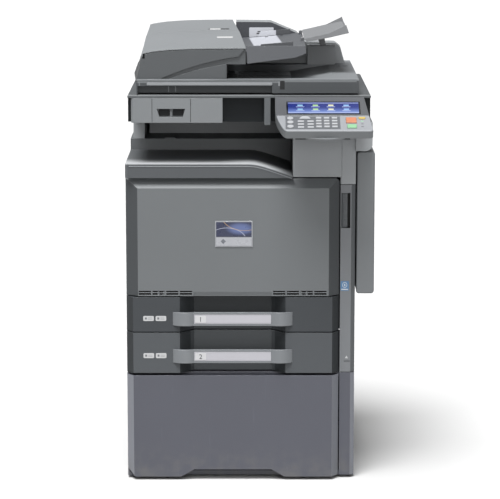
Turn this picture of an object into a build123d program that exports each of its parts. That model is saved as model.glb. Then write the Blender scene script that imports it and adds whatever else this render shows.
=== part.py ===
"""A floor-standing colour photocopier: cabinet, two paper cassettes, print engine, output space,
flatbed scanner with a document processor on top, a tilting control panel and a side feed unit.

Millimetres. +Z is up, the front faces -Y, and +X is to the right of someone standing in front.
The origin is on the floor, under the centre of the whole machine's bounding box.
"""

from build123d import *
from math import cos, exp, radians, sin
import os

# ---- driving sizes ----------------------------------------------------------------------------
# Plan
body_width = 611.0  # left side to the outer face of the right column
front_width = 568.0  # front cover, cassette fronts and cabinet door
body_depth = 590.0  # front plane to rear cover
panel_overhang = 177.0  # how far the control panel stands out in front
side_unit_width = 48.0  # the side feed unit, along X
gap = 3.0  # seam between covers that move past each other
fit = 0.3  # clearance of pieces set into pockets
pin_clearance = 0.1  # radial, pins in hinge eyes
skin = 3.0  # plastic cover wall
sheet_metal = 2.0

# Height, from the floor up
foot_height = 6.0
cabinet_height = 286.0
cassette_front_heights = {2: 110.0, 1: 94.0}  # by cassette number, 2 is the lower one
front_cover_height = 314.0
bezel_height = 37.0
output_space_height = 110.0
scanner_tub_height = 66.0
platen_frame_height = 8.0
lid_gap = 4.0
lid_base_height = 37.0
feeder_height = 120.5  # feeding unit, above the lid's base

# Front face
edge_chamfer_depth = 24.0
cassette_chamfer_width = 18.0
front_cover_chamfer_width = 32.0
front_cover_chamfer_top = 24.0
front_cover_thickness = 30.0
column_recess = 24.0
recess_outer_half = 141.0  # hand recess in the cassette fronts, half width at the front plane
recess_inner_half = 104.0
recess_depth = 40.0
cassette_front_depth = 48.0
door_thickness = 30.0

# Cassettes
cassette_box_side = 26.0  # from the front's end to the box's side
cassette_box_rear_space = 72.0  # from the box's end to the back of the machine
cassette_box_wall = 3.0
cassette_lift = 8.0  # box bottom above the front's bottom edge
cassette_headroom = 14.0  # box top below the front's top edge
handle_height = 36.0
handle_levels = {2: 47.0, 1: 35.5}  # middle of the handle above the front's bottom edge, by cassette
handle_reach = 13.0
handle_foot = 19.0
cassette_travel = 400.0

# Output space and scanner
output_drop = 33.0
output_rear_step = 31.0
output_tray_depth = 305.0  # A4 and A3 paper lie 297 mm deep
exit_block_width = 167.0
post_width = 31.0
scanner_overhang_left = -8.0
scanner_width = 640.0
scanner_front_set_back = 30.0
scanner_panel_width = 241.0
glass_length = 440.0
glass_depth = 305.0
glass_thickness = 4.0

# Control panel
panel_length = 180.0  # along its slope
panel_tilt = 23.0  # degrees from level
panel_width = 250.0
panel_taper_left = 21.0
panel_taper_right = 17.0
panel_lip = 22.0
panel_belly = 30.0
panel_left = 65.0
panel_front_height = 970.0
screen_width = 192.0
screen_height = 68.0
screen_margin = 25.0
key_travel = 1.2

# Document processor
lid_left_inset = 24.0
lid_width = 584.0
lid_rear_inset = 34.0
feeder_width = 287.0
feeder_rear_space = 55.0  # from the feeder to the lid's rear edge
table_length = 158.0
table_rear_space = 40.0  # how much shorter the table is than the feeder
table_slope = 5.0  # degrees, falling towards the feeder
table_tilt = 0.2  # degrees, rising towards the rear
extension_length = 122.0
extension_front_space = 136.0  # from the table's front edge
extension_rear_space = 16.0
extension_rise = 7.0  # degrees, above the table's own slope

# Side unit
side_unit_height = 383.0
side_unit_front = 30.0
side_unit_rear = 70.0
bypass_width = 320.0
bypass_length = 284.0

# ---- places worked out from the sizes -----------------------------------------------------------
overall_width = body_width + gap + side_unit_width
overall_depth = body_depth + panel_overhang
left = -overall_width / 2
right = left + body_width
front = -overall_depth / 2 + panel_overhang
rear = front + body_depth
front_right = left + front_width
front_middle = left + front_width / 2
column_left = front_right + gap
side_left = right + gap
side_right = side_left + side_unit_width

cabinet_top = foot_height + cabinet_height
unit_bottom = cabinet_top + 2.0
cassette_bottoms = {2: unit_bottom + 2.0}
cassette_bottoms[1] = cassette_bottoms[2] + cassette_front_heights[2] + gap
front_cover_bottom = cassette_bottoms[1] + cassette_front_heights[1] + gap
front_cover_top = front_cover_bottom + front_cover_height
output_level = front_cover_top + gap + bezel_height
platform_level = output_level + output_rear_step
scanner_bottom = output_level + output_space_height
tub_top = scanner_bottom + scanner_tub_height
platen_top = tub_top + platen_frame_height
lid_bottom = platen_top + lid_gap
deck_level = lid_bottom + lid_base_height
feeder_top = deck_level + feeder_height

panel_case_front = front + skin + cassette_front_depth  # chassis front edges
scanner_left = left - scanner_overhang_left
scanner_right = scanner_left + scanner_width
exit_block_left = right - exit_block_width
lid_left = scanner_left + lid_left_inset
lid_right = lid_left + lid_width
lid_rear = rear - lid_rear_inset
feeder_depth = lid_rear - feeder_rear_space - (front + 9.0)
table_depth = feeder_depth - table_rear_space
extension_depth = table_depth - extension_front_space - extension_rear_space
feeder_right = lid_left + feeder_width


# ---- building blocks ----------------------------------------------------------------------------
def block(x, y, z):
    """Box between the two values given for each axis."""
    centre = [(a + b) / 2 for a, b in (x, y, z)]
    return Pos(*centre) * Box(x[1] - x[0], y[1] - y[0], z[1] - z[0])


def prism(points, axis, start, end):
    """Flat outline of 2-D points, carried along an axis. The points are (y, z), (x, z) or (x, y)."""
    at = {
        "x": lambda u, v: (start, u, v),
        "y": lambda u, v: (u, start, v),
        "z": lambda u, v: (u, v, start),
    }[axis]
    along = {"x": (1, 0, 0), "y": (0, 1, 0), "z": (0, 0, 1)}[axis]
    outline = make_face(Polyline(*[at(*p) for p in points], close=True))
    return extrude(outline, amount=end - start, dir=along)


def sweep_edges(edges, axis, length):
    """Closed outline of edges that lie in one plane, carried along an axis."""
    along = {"x": (1, 0, 0), "y": (0, 1, 0), "z": (0, 0, 1)}[axis]
    return extrude(make_face(edges), amount=length, dir=along)


def rod(axis, centre, start, end, radius):
    """Round bar along an axis. Centre is the two other coordinates, in x, y, z order."""
    middle = (start + end) / 2
    length = end - start
    place, turn = {
        "x": ((middle, *centre), Rot(0, 90, 0)),
        "y": ((centre[0], middle, centre[1]), Rot(90, 0, 0)),
        "z": ((*centre, middle), Rot(0, 0, 0)),
    }[axis]
    return Pos(*place) * turn * Cylinder(radius, length)


def union(*shapes):
    whole = shapes[0]
    for shape in shapes[1:]:
        whole = whole + shape
    return whole


os.makedirs("parts", exist_ok=True)


def save(name, shape):
    export_step(Compound(children=list(shape.solids())), f"parts/{name}.step")


# ---- cabinet --------------------------------------------------------------------------------------
cabinet_wall = 12.0
cabinet_front = front + door_thickness + gap
foot_radius = 22.0
foot_inset = 60.0
door_pin_radius = 2.0
door_pin_inset = 3.0
door_pin = (left + door_pin_inset, front + door_thickness - door_pin_inset)
hinge_tab = 2.0
door_bottom = foot_height + hinge_tab + 1.0
door_top = cabinet_top - hinge_tab - 1.0


def cabinet_case():
    inner_z = (foot_height + cabinet_wall, cabinet_top - cabinet_wall)
    case = block((left, right), (cabinet_front, rear - 4), (foot_height, cabinet_top))
    store_right = front_right - cabinet_wall
    case -= block((left + cabinet_wall, store_right), (cabinet_front - 1, rear - 4 - cabinet_wall), inner_z)
    case -= block((front_right, right - cabinet_wall), (cabinet_front - 1, rear - 4 - cabinet_wall), inner_z)
    tab_reach = 18.0
    for low in (foot_height, cabinet_top - hinge_tab):
        tab = block((left, left + tab_reach), (front + edge_chamfer_depth, cabinet_front), (low, low + hinge_tab))
        case += tab - rod("z", door_pin, low - 1, low + hinge_tab + 1, door_pin_radius + pin_clearance)
    return case + column_strip((foot_height + 2, cabinet_top))


def cabinet_feet():
    places = [
        (x, y)
        for x in (left + foot_inset, right - foot_inset)
        for y in (cabinet_front + foot_inset, rear - foot_inset)
    ]
    return union(*[rod("z", p, 0, foot_height, foot_radius) for p in places])


def column_strip(z, chamfer=11.0):
    """Front strip of the right column, with its outer corner cut off."""
    front_face = front + column_recess
    back = cabinet_front
    points = [
        (column_left, front_face),
        (right - chamfer, front_face),
        (right, back),
        (column_left, back),
    ]
    return prism(points, "z", *z)


def cabinet_door():
    chamfer = cassette_chamfer_width
    back = front + door_thickness

    def outline(inset):
        return [
            (left + inset, front + edge_chamfer_depth + inset),
            (left + chamfer + inset / 2, front + inset),
            (front_right - chamfer - inset / 2, front + inset),
            (front_right - inset, front + edge_chamfer_depth + inset),
            (front_right - inset, back + (1 if inset else 0)),
            (left + inset, back + (1 if inset else 0)),
        ]

    door = prism(outline(0), "z", door_bottom, door_top)
    hollow = prism(outline(skin), "z", door_bottom + skin, door_top - skin)
    notch_height = 20.0
    notch = [
        (front_middle - recess_outer_half, door_bottom - 1),
        (front_middle + recess_outer_half, door_bottom - 1),
        (front_middle + recess_inner_half, door_bottom + notch_height),
        (front_middle - recess_inner_half, door_bottom + notch_height),
    ]
    grip_wall = [(x, z + skin if z > door_bottom else z) for x, z in notch]
    grip_wall = [(x + (skin if x > front_middle else -skin), z) for x, z in grip_wall]
    door -= hollow - prism(grip_wall, "y", front, back)
    door -= prism(notch, "y", front - 1, back + 1)
    for x in (left + front_width / 4, front_right - front_width / 4):
        door += block((x - skin / 2, x + skin / 2), (front + 1, back), (door_bottom + 1, door_top - 1))
    corner = [(left - 1, door_bottom - 1), (left + chamfer + 4, door_bottom - 1), (left - 1, door_bottom + chamfer + 4)]
    door -= prism(corner, "y", front - 1, front + edge_chamfer_depth)
    door += prism(
        [(left + skin, door_bottom + chamfer + 3), (left + chamfer + 3, door_bottom + 2), (left + chamfer + 3, door_bottom + chamfer + 3)],
        "y",
        front + edge_chamfer_depth - 1,
        front + edge_chamfer_depth + skin - 1,
    ) & block((left, left + chamfer + 4), (front, back), (door_bottom, door_top))
    eye = 7.0
    for low, high in ((door_bottom, door_bottom + eye), (door_top - eye, door_top)):
        door += block((left + 0.5, left + eye + skin), (back - eye + 1, back), (low, high)) & prism(
            outline(0), "z", low, high
        )
    door += rod("z", door_pin, door_bottom - hinge_tab, door_bottom + 2, door_pin_radius)
    door += rod("z", door_pin, door_top - 2, door_top + hinge_tab, door_pin_radius)
    return door


# ---- main unit frame and fixed covers ---------------------------------------------------------------
frame_left = left + 8.0
frame_right = front_right - 6.0
frame_front = front + cassette_front_depth + 4.0
frame_rear = rear - 24.0
rail_height = 6.0
rail_width = 26.0
hinge_arm_width = 8.0
cover_pin_radius = 2.5
cover_pin_inset = 4.5
cover_pin = (front + cover_pin_inset, front_cover_bottom + cover_pin_inset)
cover_arm_places = (left + 90.0, front_right - 98.0)


def chassis():
    """Folded and welded sheet steel: floor, two side plates, rear plate, deck, top rails and runners."""
    t = sheet_metal
    high = front_cover_top - 6.0
    y = (frame_front, frame_rear)
    deck = front_cover_bottom - 1.0
    frame = block((frame_left, frame_right), y, (unit_bottom, unit_bottom + t))
    frame += block((frame_left, frame_left + t), y, (unit_bottom, high))
    frame += block((frame_right - t, frame_right), y, (unit_bottom, high))
    frame += block((frame_left, frame_right), (frame_rear - t, frame_rear), (unit_bottom, high))
    frame += block((frame_left, frame_right), y, (deck, deck + t))
    for start in (frame_front, frame_rear - 40.0):
        frame += block((frame_left, frame_right), (start, start + 40.0), (high - t, high))
    for number, bottom in cassette_bottoms.items():
        top = bottom + cassette_lift - 0.5
        for x in ((frame_left, frame_left + rail_width), (frame_right - rail_width, frame_right)):
            frame += block(x, y, (top - rail_height, top))
        cx, cz = pickup_centre(number)
        for y0 in (pickup_y[0] + 0.5, pickup_y[1] - 4.5):
            bracket = block((cx - 6, frame_right - 1), (y0, y0 + 4), (cz - 4.5, cz + 4.5))
            frame += bracket - rod("y", (cx, cz), y0 - 1, y0 + 5, pickup_shaft_radius + pin_clearance)
    for x in cover_arm_places:
        arm_x = (x, x + hinge_arm_width)
        back = front + front_cover_thickness + 4.0
        frame += block(arm_x, (back, frame_front + 20), (deck, cover_pin[1] + 14))
        frame += block(arm_x, (cover_pin[0], back + 1), (cover_pin[1] - 3.0, cover_pin[1] + 3.0))
        frame += rod("x", cover_pin, x, x + hinge_arm_width, 3.0)
        frame += rod("x", cover_pin, x - 5, x + hinge_arm_width + 5, cover_pin_radius)
    return frame


def left_cover():
    """Side panel with a folded front edge, from the cabinet to the output tray."""
    top = output_level - 4.0
    y = (front + cassette_front_depth + 5.0, rear - 3.0)
    panel = block((left, left + skin), y, (unit_bottom, top))
    panel += block((left, frame_left - 1), (y[0], y[0] + skin), (unit_bottom, top))
    grip = block((left - 1, left + skin + 1), (front + 210, front + 320), (unit_bottom + 60, unit_bottom + 86))
    pocket_x = (left, left + 7.0)
    pocket = block(pocket_x, (front + 207, front + 323), (unit_bottom + 57, unit_bottom + 89))
    panel = panel - grip + (pocket - block((left - 1, left + 5.0), (front + 210, front + 320), (unit_bottom + 60, unit_bottom + 86)))
    return panel


def rear_cover():
    """Rear panel with two banks of cooling slots."""
    panel = block((left + skin + 0.5, right - skin - 0.5), (rear - skin, rear), (unit_bottom, scanner_bottom - 1))
    slot_count, slot_pitch, slot_height = 9, 9.0, 4.0
    for x in (left + 90, right - 230):
        for row in range(slot_count):
            z = front_cover_bottom + 120 + row * slot_pitch
            panel -= block((x, x + 140), (rear - skin - 1, rear + 1), (z, z + slot_height))
    for x, top in (
        ((left + skin + 0.5, left + 2 * skin), platform_level - skin - 1),
        ((right - 2 * skin, right - skin - 0.5), urb_bottom - 1),
    ):
        panel += block(x, (rear - 20, rear), (unit_bottom, top))
    return panel


side_window = (front + side_unit_front + 14.0, rear - side_unit_rear - 14.0)
side_bottom = front_cover_bottom + 1.0
side_top = side_bottom + side_unit_height
urb_bottom = front_cover_top - 16.0  # where the upper right cover starts, over the column
urb_front = front + column_recess


def right_side_cover():
    """Fixed right side, with the window that the side unit closes."""
    panel = block((right - skin, right), (cabinet_front + 0.5, rear - skin - 0.5), (unit_bottom, urb_bottom - 1))
    window_z = (side_bottom + 20, urb_bottom - 20)
    panel -= block((right - skin - 1, right + 1), side_window, window_z)
    x = (front_right + 14.0, right - skin + 1)
    guide_z = (window_z[0] - 10, window_z[0] - 7)
    panel += block(x, side_window, guide_z)
    return panel


grip_x = (column_left + 2.5, column_left + 26.0)
grip_z = (front_cover_top - 134.0, front_cover_top - 40.0)
grip_depth = 34.0
lever_thickness = 5.0
lever_pin_radius = 1.5
lever_pin = (grip_x[0] + 4.0, urb_front + 8.0)


def right_column():
    """Front strip beside the front cover, with the pocket for the side unit's release lever."""
    strip = column_strip((unit_bottom, urb_bottom - 1.5))
    y0 = urb_front
    pocket_outer = block(
        (grip_x[0] - 2, grip_x[1] + 2), (y0 + 2, y0 + grip_depth), (grip_z[0] - 2, grip_z[1] + 2)
    )
    strip += pocket_outer
    strip -= block(grip_x, (y0 - 1, y0 + grip_depth - 2), grip_z)
    lamp = (column_left + 12.0, column_left + 27.0)
    strip -= block(lamp, (y0 - 1, y0 + 2), (unit_bottom + 26, unit_bottom + 31))
    eye = rod("z", lever_pin, grip_z[0] - 1, grip_z[1] + 1, lever_pin_radius)
    return strip + eye


def release_lever():
    """Pull lever for the side unit: ribbed plate on a vertical pin."""
    z = (grip_z[0] + 1, grip_z[1] - 1)
    x0, y0 = lever_pin
    width = 12.0
    lever = block((x0, x0 + width), (y0 - lever_thickness / 2, y0 + lever_thickness / 2), z)
    lever += rod("z", lever_pin, *z, 3.4)
    rib_count = 14
    pitch = (z[1] - z[0]) / rib_count
    for i in range(rib_count):
        low = z[0] + (i + 0.25) * pitch
        lever += block((x0 + 2, x0 + 9), (y0 - lever_thickness / 2 - 1.2, y0), (low, low + pitch / 2))
    return lever - rod("z", lever_pin, z[0] - 1, z[1] + 1, lever_pin_radius + pin_clearance)


# ---- front cover and bezel --------------------------------------------------------------------------
def front_cover():
    """Hinged front cover: a shell with sloping borders, cooling slots low down and two hinge eyes."""
    x = (left, front_right)
    z = (front_cover_bottom, front_cover_top)
    back = front + front_cover_thickness

    def shell(inset, open_back):
        lower = [(x[0] + inset, z[0] + inset), (x[1] - inset, z[0] + inset)]
        upper = [(x[1] - inset, z[1] - inset), (x[0] + inset, z[1] - inset)]
        slab = prism(lower + upper, "y", front + inset, back + open_back)
        slopes = [
            ([(x[0], front), (x[0] + front_cover_chamfer_width, front), (x[0], front + edge_chamfer_depth)], "z", z),
            ([(x[1], front), (x[1] - front_cover_chamfer_width + 4, front), (x[1], front + edge_chamfer_depth)], "z", z),
            ([(front, z[1]), (front, z[1] - front_cover_chamfer_top), (front + edge_chamfer_depth, z[1])], "x", x),
        ]
        for points, axis, ends in slopes:
            wedge = prism(points, axis, ends[0] - 1, ends[1] + 1)
            push = {"z": (0, inset, 0), "x": (0, inset, 0)}[axis]
            slab -= Pos(*push) * wedge
        return slab

    cover = shell(0, 0) - shell(skin, 1)
    corner = 12.0
    cut = block((x[1] - corner, x[1] + 1), (front - 1, back + 1), (z[1] - corner, z[1] + 1))
    cover -= cut - rod("y", (x[1] - corner, z[1] - corner), front - 2, back + 2, corner)
    slot_width, slot_pitch, slot_count = 32.5, 36.5, 4
    for start in (front_middle - 104.0 - slot_count * slot_pitch, front_middle + 108.0):
        for i in range(slot_count):
            low = start + i * slot_pitch
            for z0, slot_height in ((z[0] + 3.0, 5.0), (z[0] + 10.0, 4.0)):
                cover -= block((low, low + slot_width), (front - 1, front + skin + 1), (z0, z0 + slot_height))
    undercut = [(front - 1, z[0] - 1), (front + 2.2, z[0] - 1), (front + 2.2, z[0] + 2), (front - 1, z[0] + 16)]
    cover -= prism(undercut, "x", front_middle - recess_inner_half, front_middle + recess_inner_half)
    for x0 in cover_arm_places:
        slot = (x0 - 1.0, x0 + hinge_arm_width + 1.0)
        eye = block((slot[0] - 5, slot[1] + 5), (front + 1, front + 12), (z[0] + 0.5, z[0] + 12))
        cover += eye
        cover -= block(slot, (front + 0.8, back + 1), (z[0] - 1, z[0] + 16))
        cover -= rod("x", cover_pin, slot[0] - 6, slot[1] + 6, cover_pin_radius + pin_clearance)
    rib_z = (z[0] + 16, z[1] - front_cover_chamfer_top)
    for share in (0.25, 0.5, 0.75):
        xr = x[0] + share * front_width
        cover += block((xr - 1, xr + 1), (front + 1, front + 16), rib_z)
    return cover


def front_badge():
    """Plain name-plate frame on the front cover, with no lettering."""
    centre = front_middle + 3.5
    return block((centre - 50, centre + 50), (front - 1.6, front), (front_cover_bottom + 133, front_cover_bottom + 203))


def output_profile(offset, end):
    """Top edge of the output tray in X and Z: level, then falling in an S to the exit wall."""
    level = output_level - offset
    start = front_middle + 40.0
    return [
        Line((left, 0, level), (start, 0, level)),
        Spline(
            (start, 0, level),
            ((start + end) / 2 + 6, 0, level - output_drop * 0.42),
            (end, 0, level - output_drop),
            tangents=[(1, 0, 0), (1, 0, -0.42)],
        ),
    ]


def under_profile(offset, low, end, y, depth):
    """Solid between the output profile and a level below it."""
    top = output_profile(offset, end)
    edges = top + [
        Line((end, 0, output_level - offset - output_drop), (end, 0, low)),
        Line((end, 0, low), (left, 0, low)),
        Line((left, 0, low), (left, 0, output_level - offset)),
    ]
    return Pos(0, y, 0) * sweep_edges(edges, "y", depth)


bezel_corner = 7.0
bezel_end = exit_block_left - 1.0


def front_bezel():
    """Narrow cover over the front cover: a plate whose top follows the output tray."""
    low = front_cover_top + gap
    thick = 9.0
    plate = under_profile(1.5, low, bezel_end, front, thick)
    plate -= under_profile(1.5 + skin, low - 1, bezel_end + 1, front + skin, thick)
    plate += block((left, left + skin), (front + bezel_corner - 1, front + thick), (low, output_level - 1.5))
    corner = [(left - 1, front - 1), (left + bezel_corner, front - 1), (left - 1, front + bezel_corner)]
    return plate - prism(corner, "z", low - 1, output_level + 1)


def output_tray():
    """Top cover: the tray that catches the paper, its rear fence and the platform behind it."""
    low = output_level - output_drop - 4.0
    tray = under_profile(0, low, bezel_end, front + 9.5, output_tray_depth - 9.5)
    tray -= under_profile(skin, low - 1, bezel_end + 1, front + 9.5 + skin, output_tray_depth)
    tray -= block((left - 1, bezel_end + 2), (front + 20, rear), (low - 1, low + 4))
    lip = block((left, left + 150), (front, front + 12), (output_level - 1.5 + 0.5, output_level))
    fence_y = (front + output_tray_depth - skin, front + output_tray_depth)
    wall = block((left + skin + 0.5, bezel_end), fence_y, (low + 4, platform_level))
    deck = block((left, bezel_end), (fence_y[0], rear - skin - 1), (platform_level - skin, platform_level))
    side = block((left, left + skin), (fence_y[0], rear - skin - 1), (output_level - skin, platform_level))
    stop = block((front_middle - 190, front_middle - 160), fence_y, (platform_level - 1, platform_level + 3))
    return tray + wall + deck + side + stop


def exit_back_wall():
    """Dark wall at the back of the output space, with a speaker grille."""
    y = (front + 430.0, front + 430.0 + skin)
    post_right = scanner_left + 8.0 + post_width
    wall = block((post_right, exit_block_left - 0.5), y, (platform_level, scanner_bottom - 0.5))
    columns, rows, pitch = 10, 3, 8.0
    x0 = exit_block_left - 98.0
    for i in range(columns):
        for j in range(rows):
            centre = (x0 + i * pitch, scanner_bottom - 34.0 + j * pitch)
            wall -= rod("y", centre, y[0] - 1, y[1] + 1, 1.8)
    wall += block((post_right + 22, post_right + 62), (y[0] - 30, y[0]), (scanner_bottom - 24, scanner_bottom - 0.5))
    return wall + scanner_post()


def scanner_post():
    """Left support between the platform and the scanner."""
    x = (left + 8.0, left + 8.0 + post_width)
    y = (front + output_tray_depth, rear - skin - 1)
    z = (platform_level, scanner_bottom)
    post = block(x, y, z)
    post -= block((x[0] + skin, x[1] - skin), (y[0] + skin, y[1] - skin), (z[0] - 1, z[1] - skin))
    return post


exit_slot_z = (output_level + 26.0, output_level + 40.0)
exit_slot_y = (front + 34.0, front + 300.0)
exit_roller_centre = (exit_block_left + 13.0, output_level + 26.0)
exit_shaft_radius = 3.0
exit_roller_radius = 8.0


def upper_right_cover():
    """Cover of the paper exit: block under the scanner's right half, stepping over the front cover."""
    x = (exit_block_left, right)
    y = (urb_front, rear - skin - 0.5)
    low = front_cover_top + gap
    outer = block(x, y, (low, scanner_bottom - 0.5))
    outer += block((column_left, right), y, (urb_bottom, low + 1))
    inner = block((x[0] + skin, x[1] - skin), (y[0] + skin, y[1] - skin), (low - 1, scanner_bottom - 0.5 - skin))
    inner += block((column_left + skin, right - skin), (y[0] + skin, y[1] - skin), (urb_bottom - 1, low + 1))
    cover = outer - inner
    cover -= block((x[0] - 1, x[0] + skin + 1), exit_slot_y, exit_slot_z)
    seam = block((column_left + 2, column_left + 3.5), (urb_front - 1, urb_front + 1), (urb_bottom - 1, scanner_bottom))
    cover -= seam
    bearing_z = (exit_roller_centre[1] - 12, exit_roller_centre[1] + 12)
    for y in (exit_slot_y[0] - 4, exit_slot_y[1]):
        bearing = block((x[0] + 1, x[0] + 24), (y, y + 4), bearing_z)
        cover += bearing - rod("y", exit_roller_centre, y - 1, y + 5, exit_shaft_radius + pin_clearance)
    shoulder = block((right - 1, side_right - 8), (urb_front - 14, urb_front + 170), (side_top + 4, scanner_bottom - 0.5))
    shoulder = fillet(shoulder.edges().filter_by(Axis.Y).group_by(Axis.Z)[0].sort_by(Axis.X)[-1], 18.0)
    shoulder -= block((right, side_right - 8 - skin), (urb_front - 14 + skin, urb_front + 170 - skin), (side_top + 4 + 12, scanner_bottom - 4))
    return cover + shoulder


def exit_roller():
    shaft = rod("y", exit_roller_centre, exit_slot_y[0] - 3.5, exit_slot_y[1] + 3.5, exit_shaft_radius)
    for share in (0.15, 0.38, 0.62, 0.85):
        middle = exit_slot_y[0] + share * (exit_slot_y[1] - exit_slot_y[0])
        shaft += rod("y", exit_roller_centre, middle - 9, middle + 9, exit_roller_radius)
    return shaft


# ---- cassettes ---------------------------------------------------------------------------------------
def cassette_front(number):
    """Cassette front: shell with chamfered ends and the hand recess."""
    bottom = cassette_bottoms[number]
    top = bottom + cassette_front_heights[number]
    back = front + cassette_front_depth

    def outline(inset, extra):
        y = front + inset
        return [
            (left + inset, y + edge_chamfer_depth),
            (left + cassette_chamfer_width + inset / 2, y),
            (front_middle - recess_outer_half, y),
            (front_middle - recess_inner_half, y + recess_depth),
            (front_middle + recess_inner_half, y + recess_depth),
            (front_middle + recess_outer_half, y),
            (front_right - cassette_chamfer_width - inset / 2, y),
            (front_right - inset, y + edge_chamfer_depth),
            (front_right - inset, back + extra),
            (left + inset, back + extra),
        ]

    shell = prism(outline(0, 0), "z", bottom, top)
    return shell - prism(outline(skin, 1), "z", bottom + skin, top - skin)


def handle_level(number):
    """Middle height of a cassette's handle."""
    return cassette_bottoms[number] + handle_levels[number]


def cassette_handle(number):
    """Bow handle across the hand recess."""
    low = handle_level(number) - handle_height / 2
    foot = recess_outer_half + handle_foot
    thick = 9.0

    def half(sign):
        x = lambda d: front_middle + sign * d
        bulge = (x((foot + recess_inner_half) / 2), front - handle_reach, 0)
        return [
            ThreePointArc((x(foot), front, 0), bulge, (x(recess_inner_half), front - handle_reach + 5, 0)),
            Line((x(foot), front, 0), (x(recess_outer_half + 2), front, 0)),
            ThreePointArc(
                (x(recess_outer_half + 2), front, 0),
                (x((recess_outer_half + recess_inner_half) / 2 + 2), front - handle_reach + thick + 1.5, 0),
                (x(recess_inner_half - 4), front - handle_reach + 5 + thick, 0),
            ),
        ]

    edges = half(-1) + half(1)
    for y, d in ((front - handle_reach + 5, recess_inner_half), (front - handle_reach + 5 + thick, recess_inner_half - 4)):
        edges.append(Line((front_middle - d, y, 0), (front_middle + d, y, 0)))
    bar = Pos(0, 0, low) * sweep_edges(edges, "z", handle_height)
    strip = block(
        (front_middle - recess_inner_half + 1, front_middle + recess_inner_half - 1),
        (front - handle_reach + 4, front - handle_reach + 6),
        (low + 5.5, low + handle_height - 5.5),
    )
    return bar - strip


def cassette_box(number):
    """Open tray for the paper, with width guides, an end guide and slide flanges."""
    bottom = cassette_bottoms[number] + cassette_lift
    top = cassette_bottoms[number] + cassette_front_heights[number] - cassette_headroom
    x = (left + cassette_box_side, front_right - cassette_box_side)
    y = (front + cassette_front_depth, rear - cassette_box_rear_space)
    w = cassette_box_wall
    box = block(x, y, (bottom, top))
    box -= block((x[0] + w, x[1] - w), (y[0] + w, y[1] - w), (bottom + w, top + 1))
    box += block((left + 6, front_right - 6), (y[0], y[0] + 3.5), (cassette_bottoms[number] + 6, top + 4))
    paper_x = (x[0] + 40, x[0] + 40 + 424)
    paper_y = (y[0] + 70, y[0] + 70 + 301)
    for edge in (paper_y[0] - w, paper_y[1]):
        box += block((x[0] + 150, x[0] + 300), (edge, edge + w), (bottom + w - 1, top - 12))
    box += block((paper_x[0] - w, paper_x[0]), (y[0] + 170, y[0] + 270), (bottom + w - 1, top - 12))
    return box


# ---- print engine --------------------------------------------------------------------------------------
engine_left = frame_left + 12.0
engine_floor = front_cover_bottom + 6.0
station_pitch = 96.0
station_count = 4
drum_radius = 15.0
drum_length = 300.0
engine_y = (frame_front + 30.0, frame_front + 30.0 + 360.0)
belt_level = front_cover_top - 108.0
belt_radius = 14.0
belt_x = (engine_left + 34.0, engine_left + 34.0 + station_pitch * station_count + 12.0)
fuser_left = belt_x[1] + 20.0
fuser_centre_x = frame_right - 50.0
heat_roller_radius = 18.0
press_roller_radius = 18.0
fuser_level = front_cover_top - 70.0


def station_x(i):
    return belt_x[0] + 34.0 + i * station_pitch


def toner_containers():
    """Four toner containers side by side at the top of the engine, each a bottle with a front grip."""
    z = (belt_level + belt_radius + 14.0, front_cover_top - 16.0)
    bottles = []
    for i in range(station_count):
        x = (station_x(i) - 38.0, station_x(i) + 38.0)
        bottle = block(x, (engine_y[0] - 20, engine_y[1]), z)
        bottle = fillet(bottle.edges().filter_by(Axis.Y), 10.0)
        bottle += block((x[0] + 24, x[1] - 24), (engine_y[0] - 32, engine_y[0] - 19), (z[0] + 12, z[1] - 12))
        bottles.append(bottle)
    return union(*bottles)


def drum_units():
    """Four drum and developer units under the transfer belt."""
    units = []
    z_drum = belt_level - belt_radius - drum_radius - 1.0
    for i in range(station_count):
        x = station_x(i)
        drum = rod("y", (x, z_drum), engine_y[0], engine_y[0] + drum_length + 40, drum_radius)
        case = block((x - 20, x + 62), (engine_y[0] + 10, engine_y[1] - 10), (z_drum - 62, z_drum - 12))
        case += block((x + 17, x + 62), (engine_y[0] + 10, engine_y[1] - 10), (z_drum - 20, z_drum + 8))
        units.append(drum + case)
    return union(*units)


def transfer_belt_unit():
    """Endless belt over two rollers, with its side frames."""
    z = (belt_level - belt_radius, belt_level + belt_radius)
    y = (engine_y[0] + 6, engine_y[1] - 6)
    x = (belt_x[0] + belt_radius, belt_x[1] - belt_radius)
    belt = block(x, y, z)
    inner = block(x, (y[0] - 1, y[1] + 1), (z[0] + 1.2, z[1] - 1.2))
    for end in x:
        belt += rod("y", (end, belt_level), *y, belt_radius)
        inner += rod("y", (end, belt_level), y[0] - 1, y[1] + 1, belt_radius - 1.2)
    rollers = union(*[rod("y", (end, belt_level), y[0] - 6, y[1] + 6, belt_radius - 1.2) for end in x])
    rails = [block(x, (s, s + 5), (belt_level - 7, belt_level + 7)) for s in (y[0] - 5, y[1])]
    return union(belt - inner, rollers, *rails)


def laser_unit():
    """Sealed laser writing box under the drum units."""
    top = belt_level - belt_radius - drum_radius * 2 - 52.0
    box = block((belt_x[0], belt_x[1]), (engine_y[0], engine_y[1]), (engine_floor, top))
    for i in range(station_count):
        x = station_x(i) - 12
        box -= block((x, x + 8), (engine_y[0] + 20, engine_y[1] - 20), (top - 2, top + 1))
    return box


def fuser_case():
    """Fixing unit housing, open where the paper passes upwards between its rollers."""
    x = (fuser_centre_x - 44, fuser_centre_x + 42)
    z = (fuser_level - 30, fuser_level + 30)
    case = block(x, (engine_y[0] - 4, engine_y[1] + 4), z)
    case -= block((x[0] + 3, x[1] - 3), engine_y, (z[0] + 3, z[1] - 3))
    case -= block((fuser_centre_x - 8, fuser_centre_x + 8), engine_y, (z[0] - 1, z[1] + 1))
    for centre in fuser_roller_centres():
        case -= rod("y", centre, engine_y[0] - 5, engine_y[1] + 5, 6.0 + pin_clearance)
    return case


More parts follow.
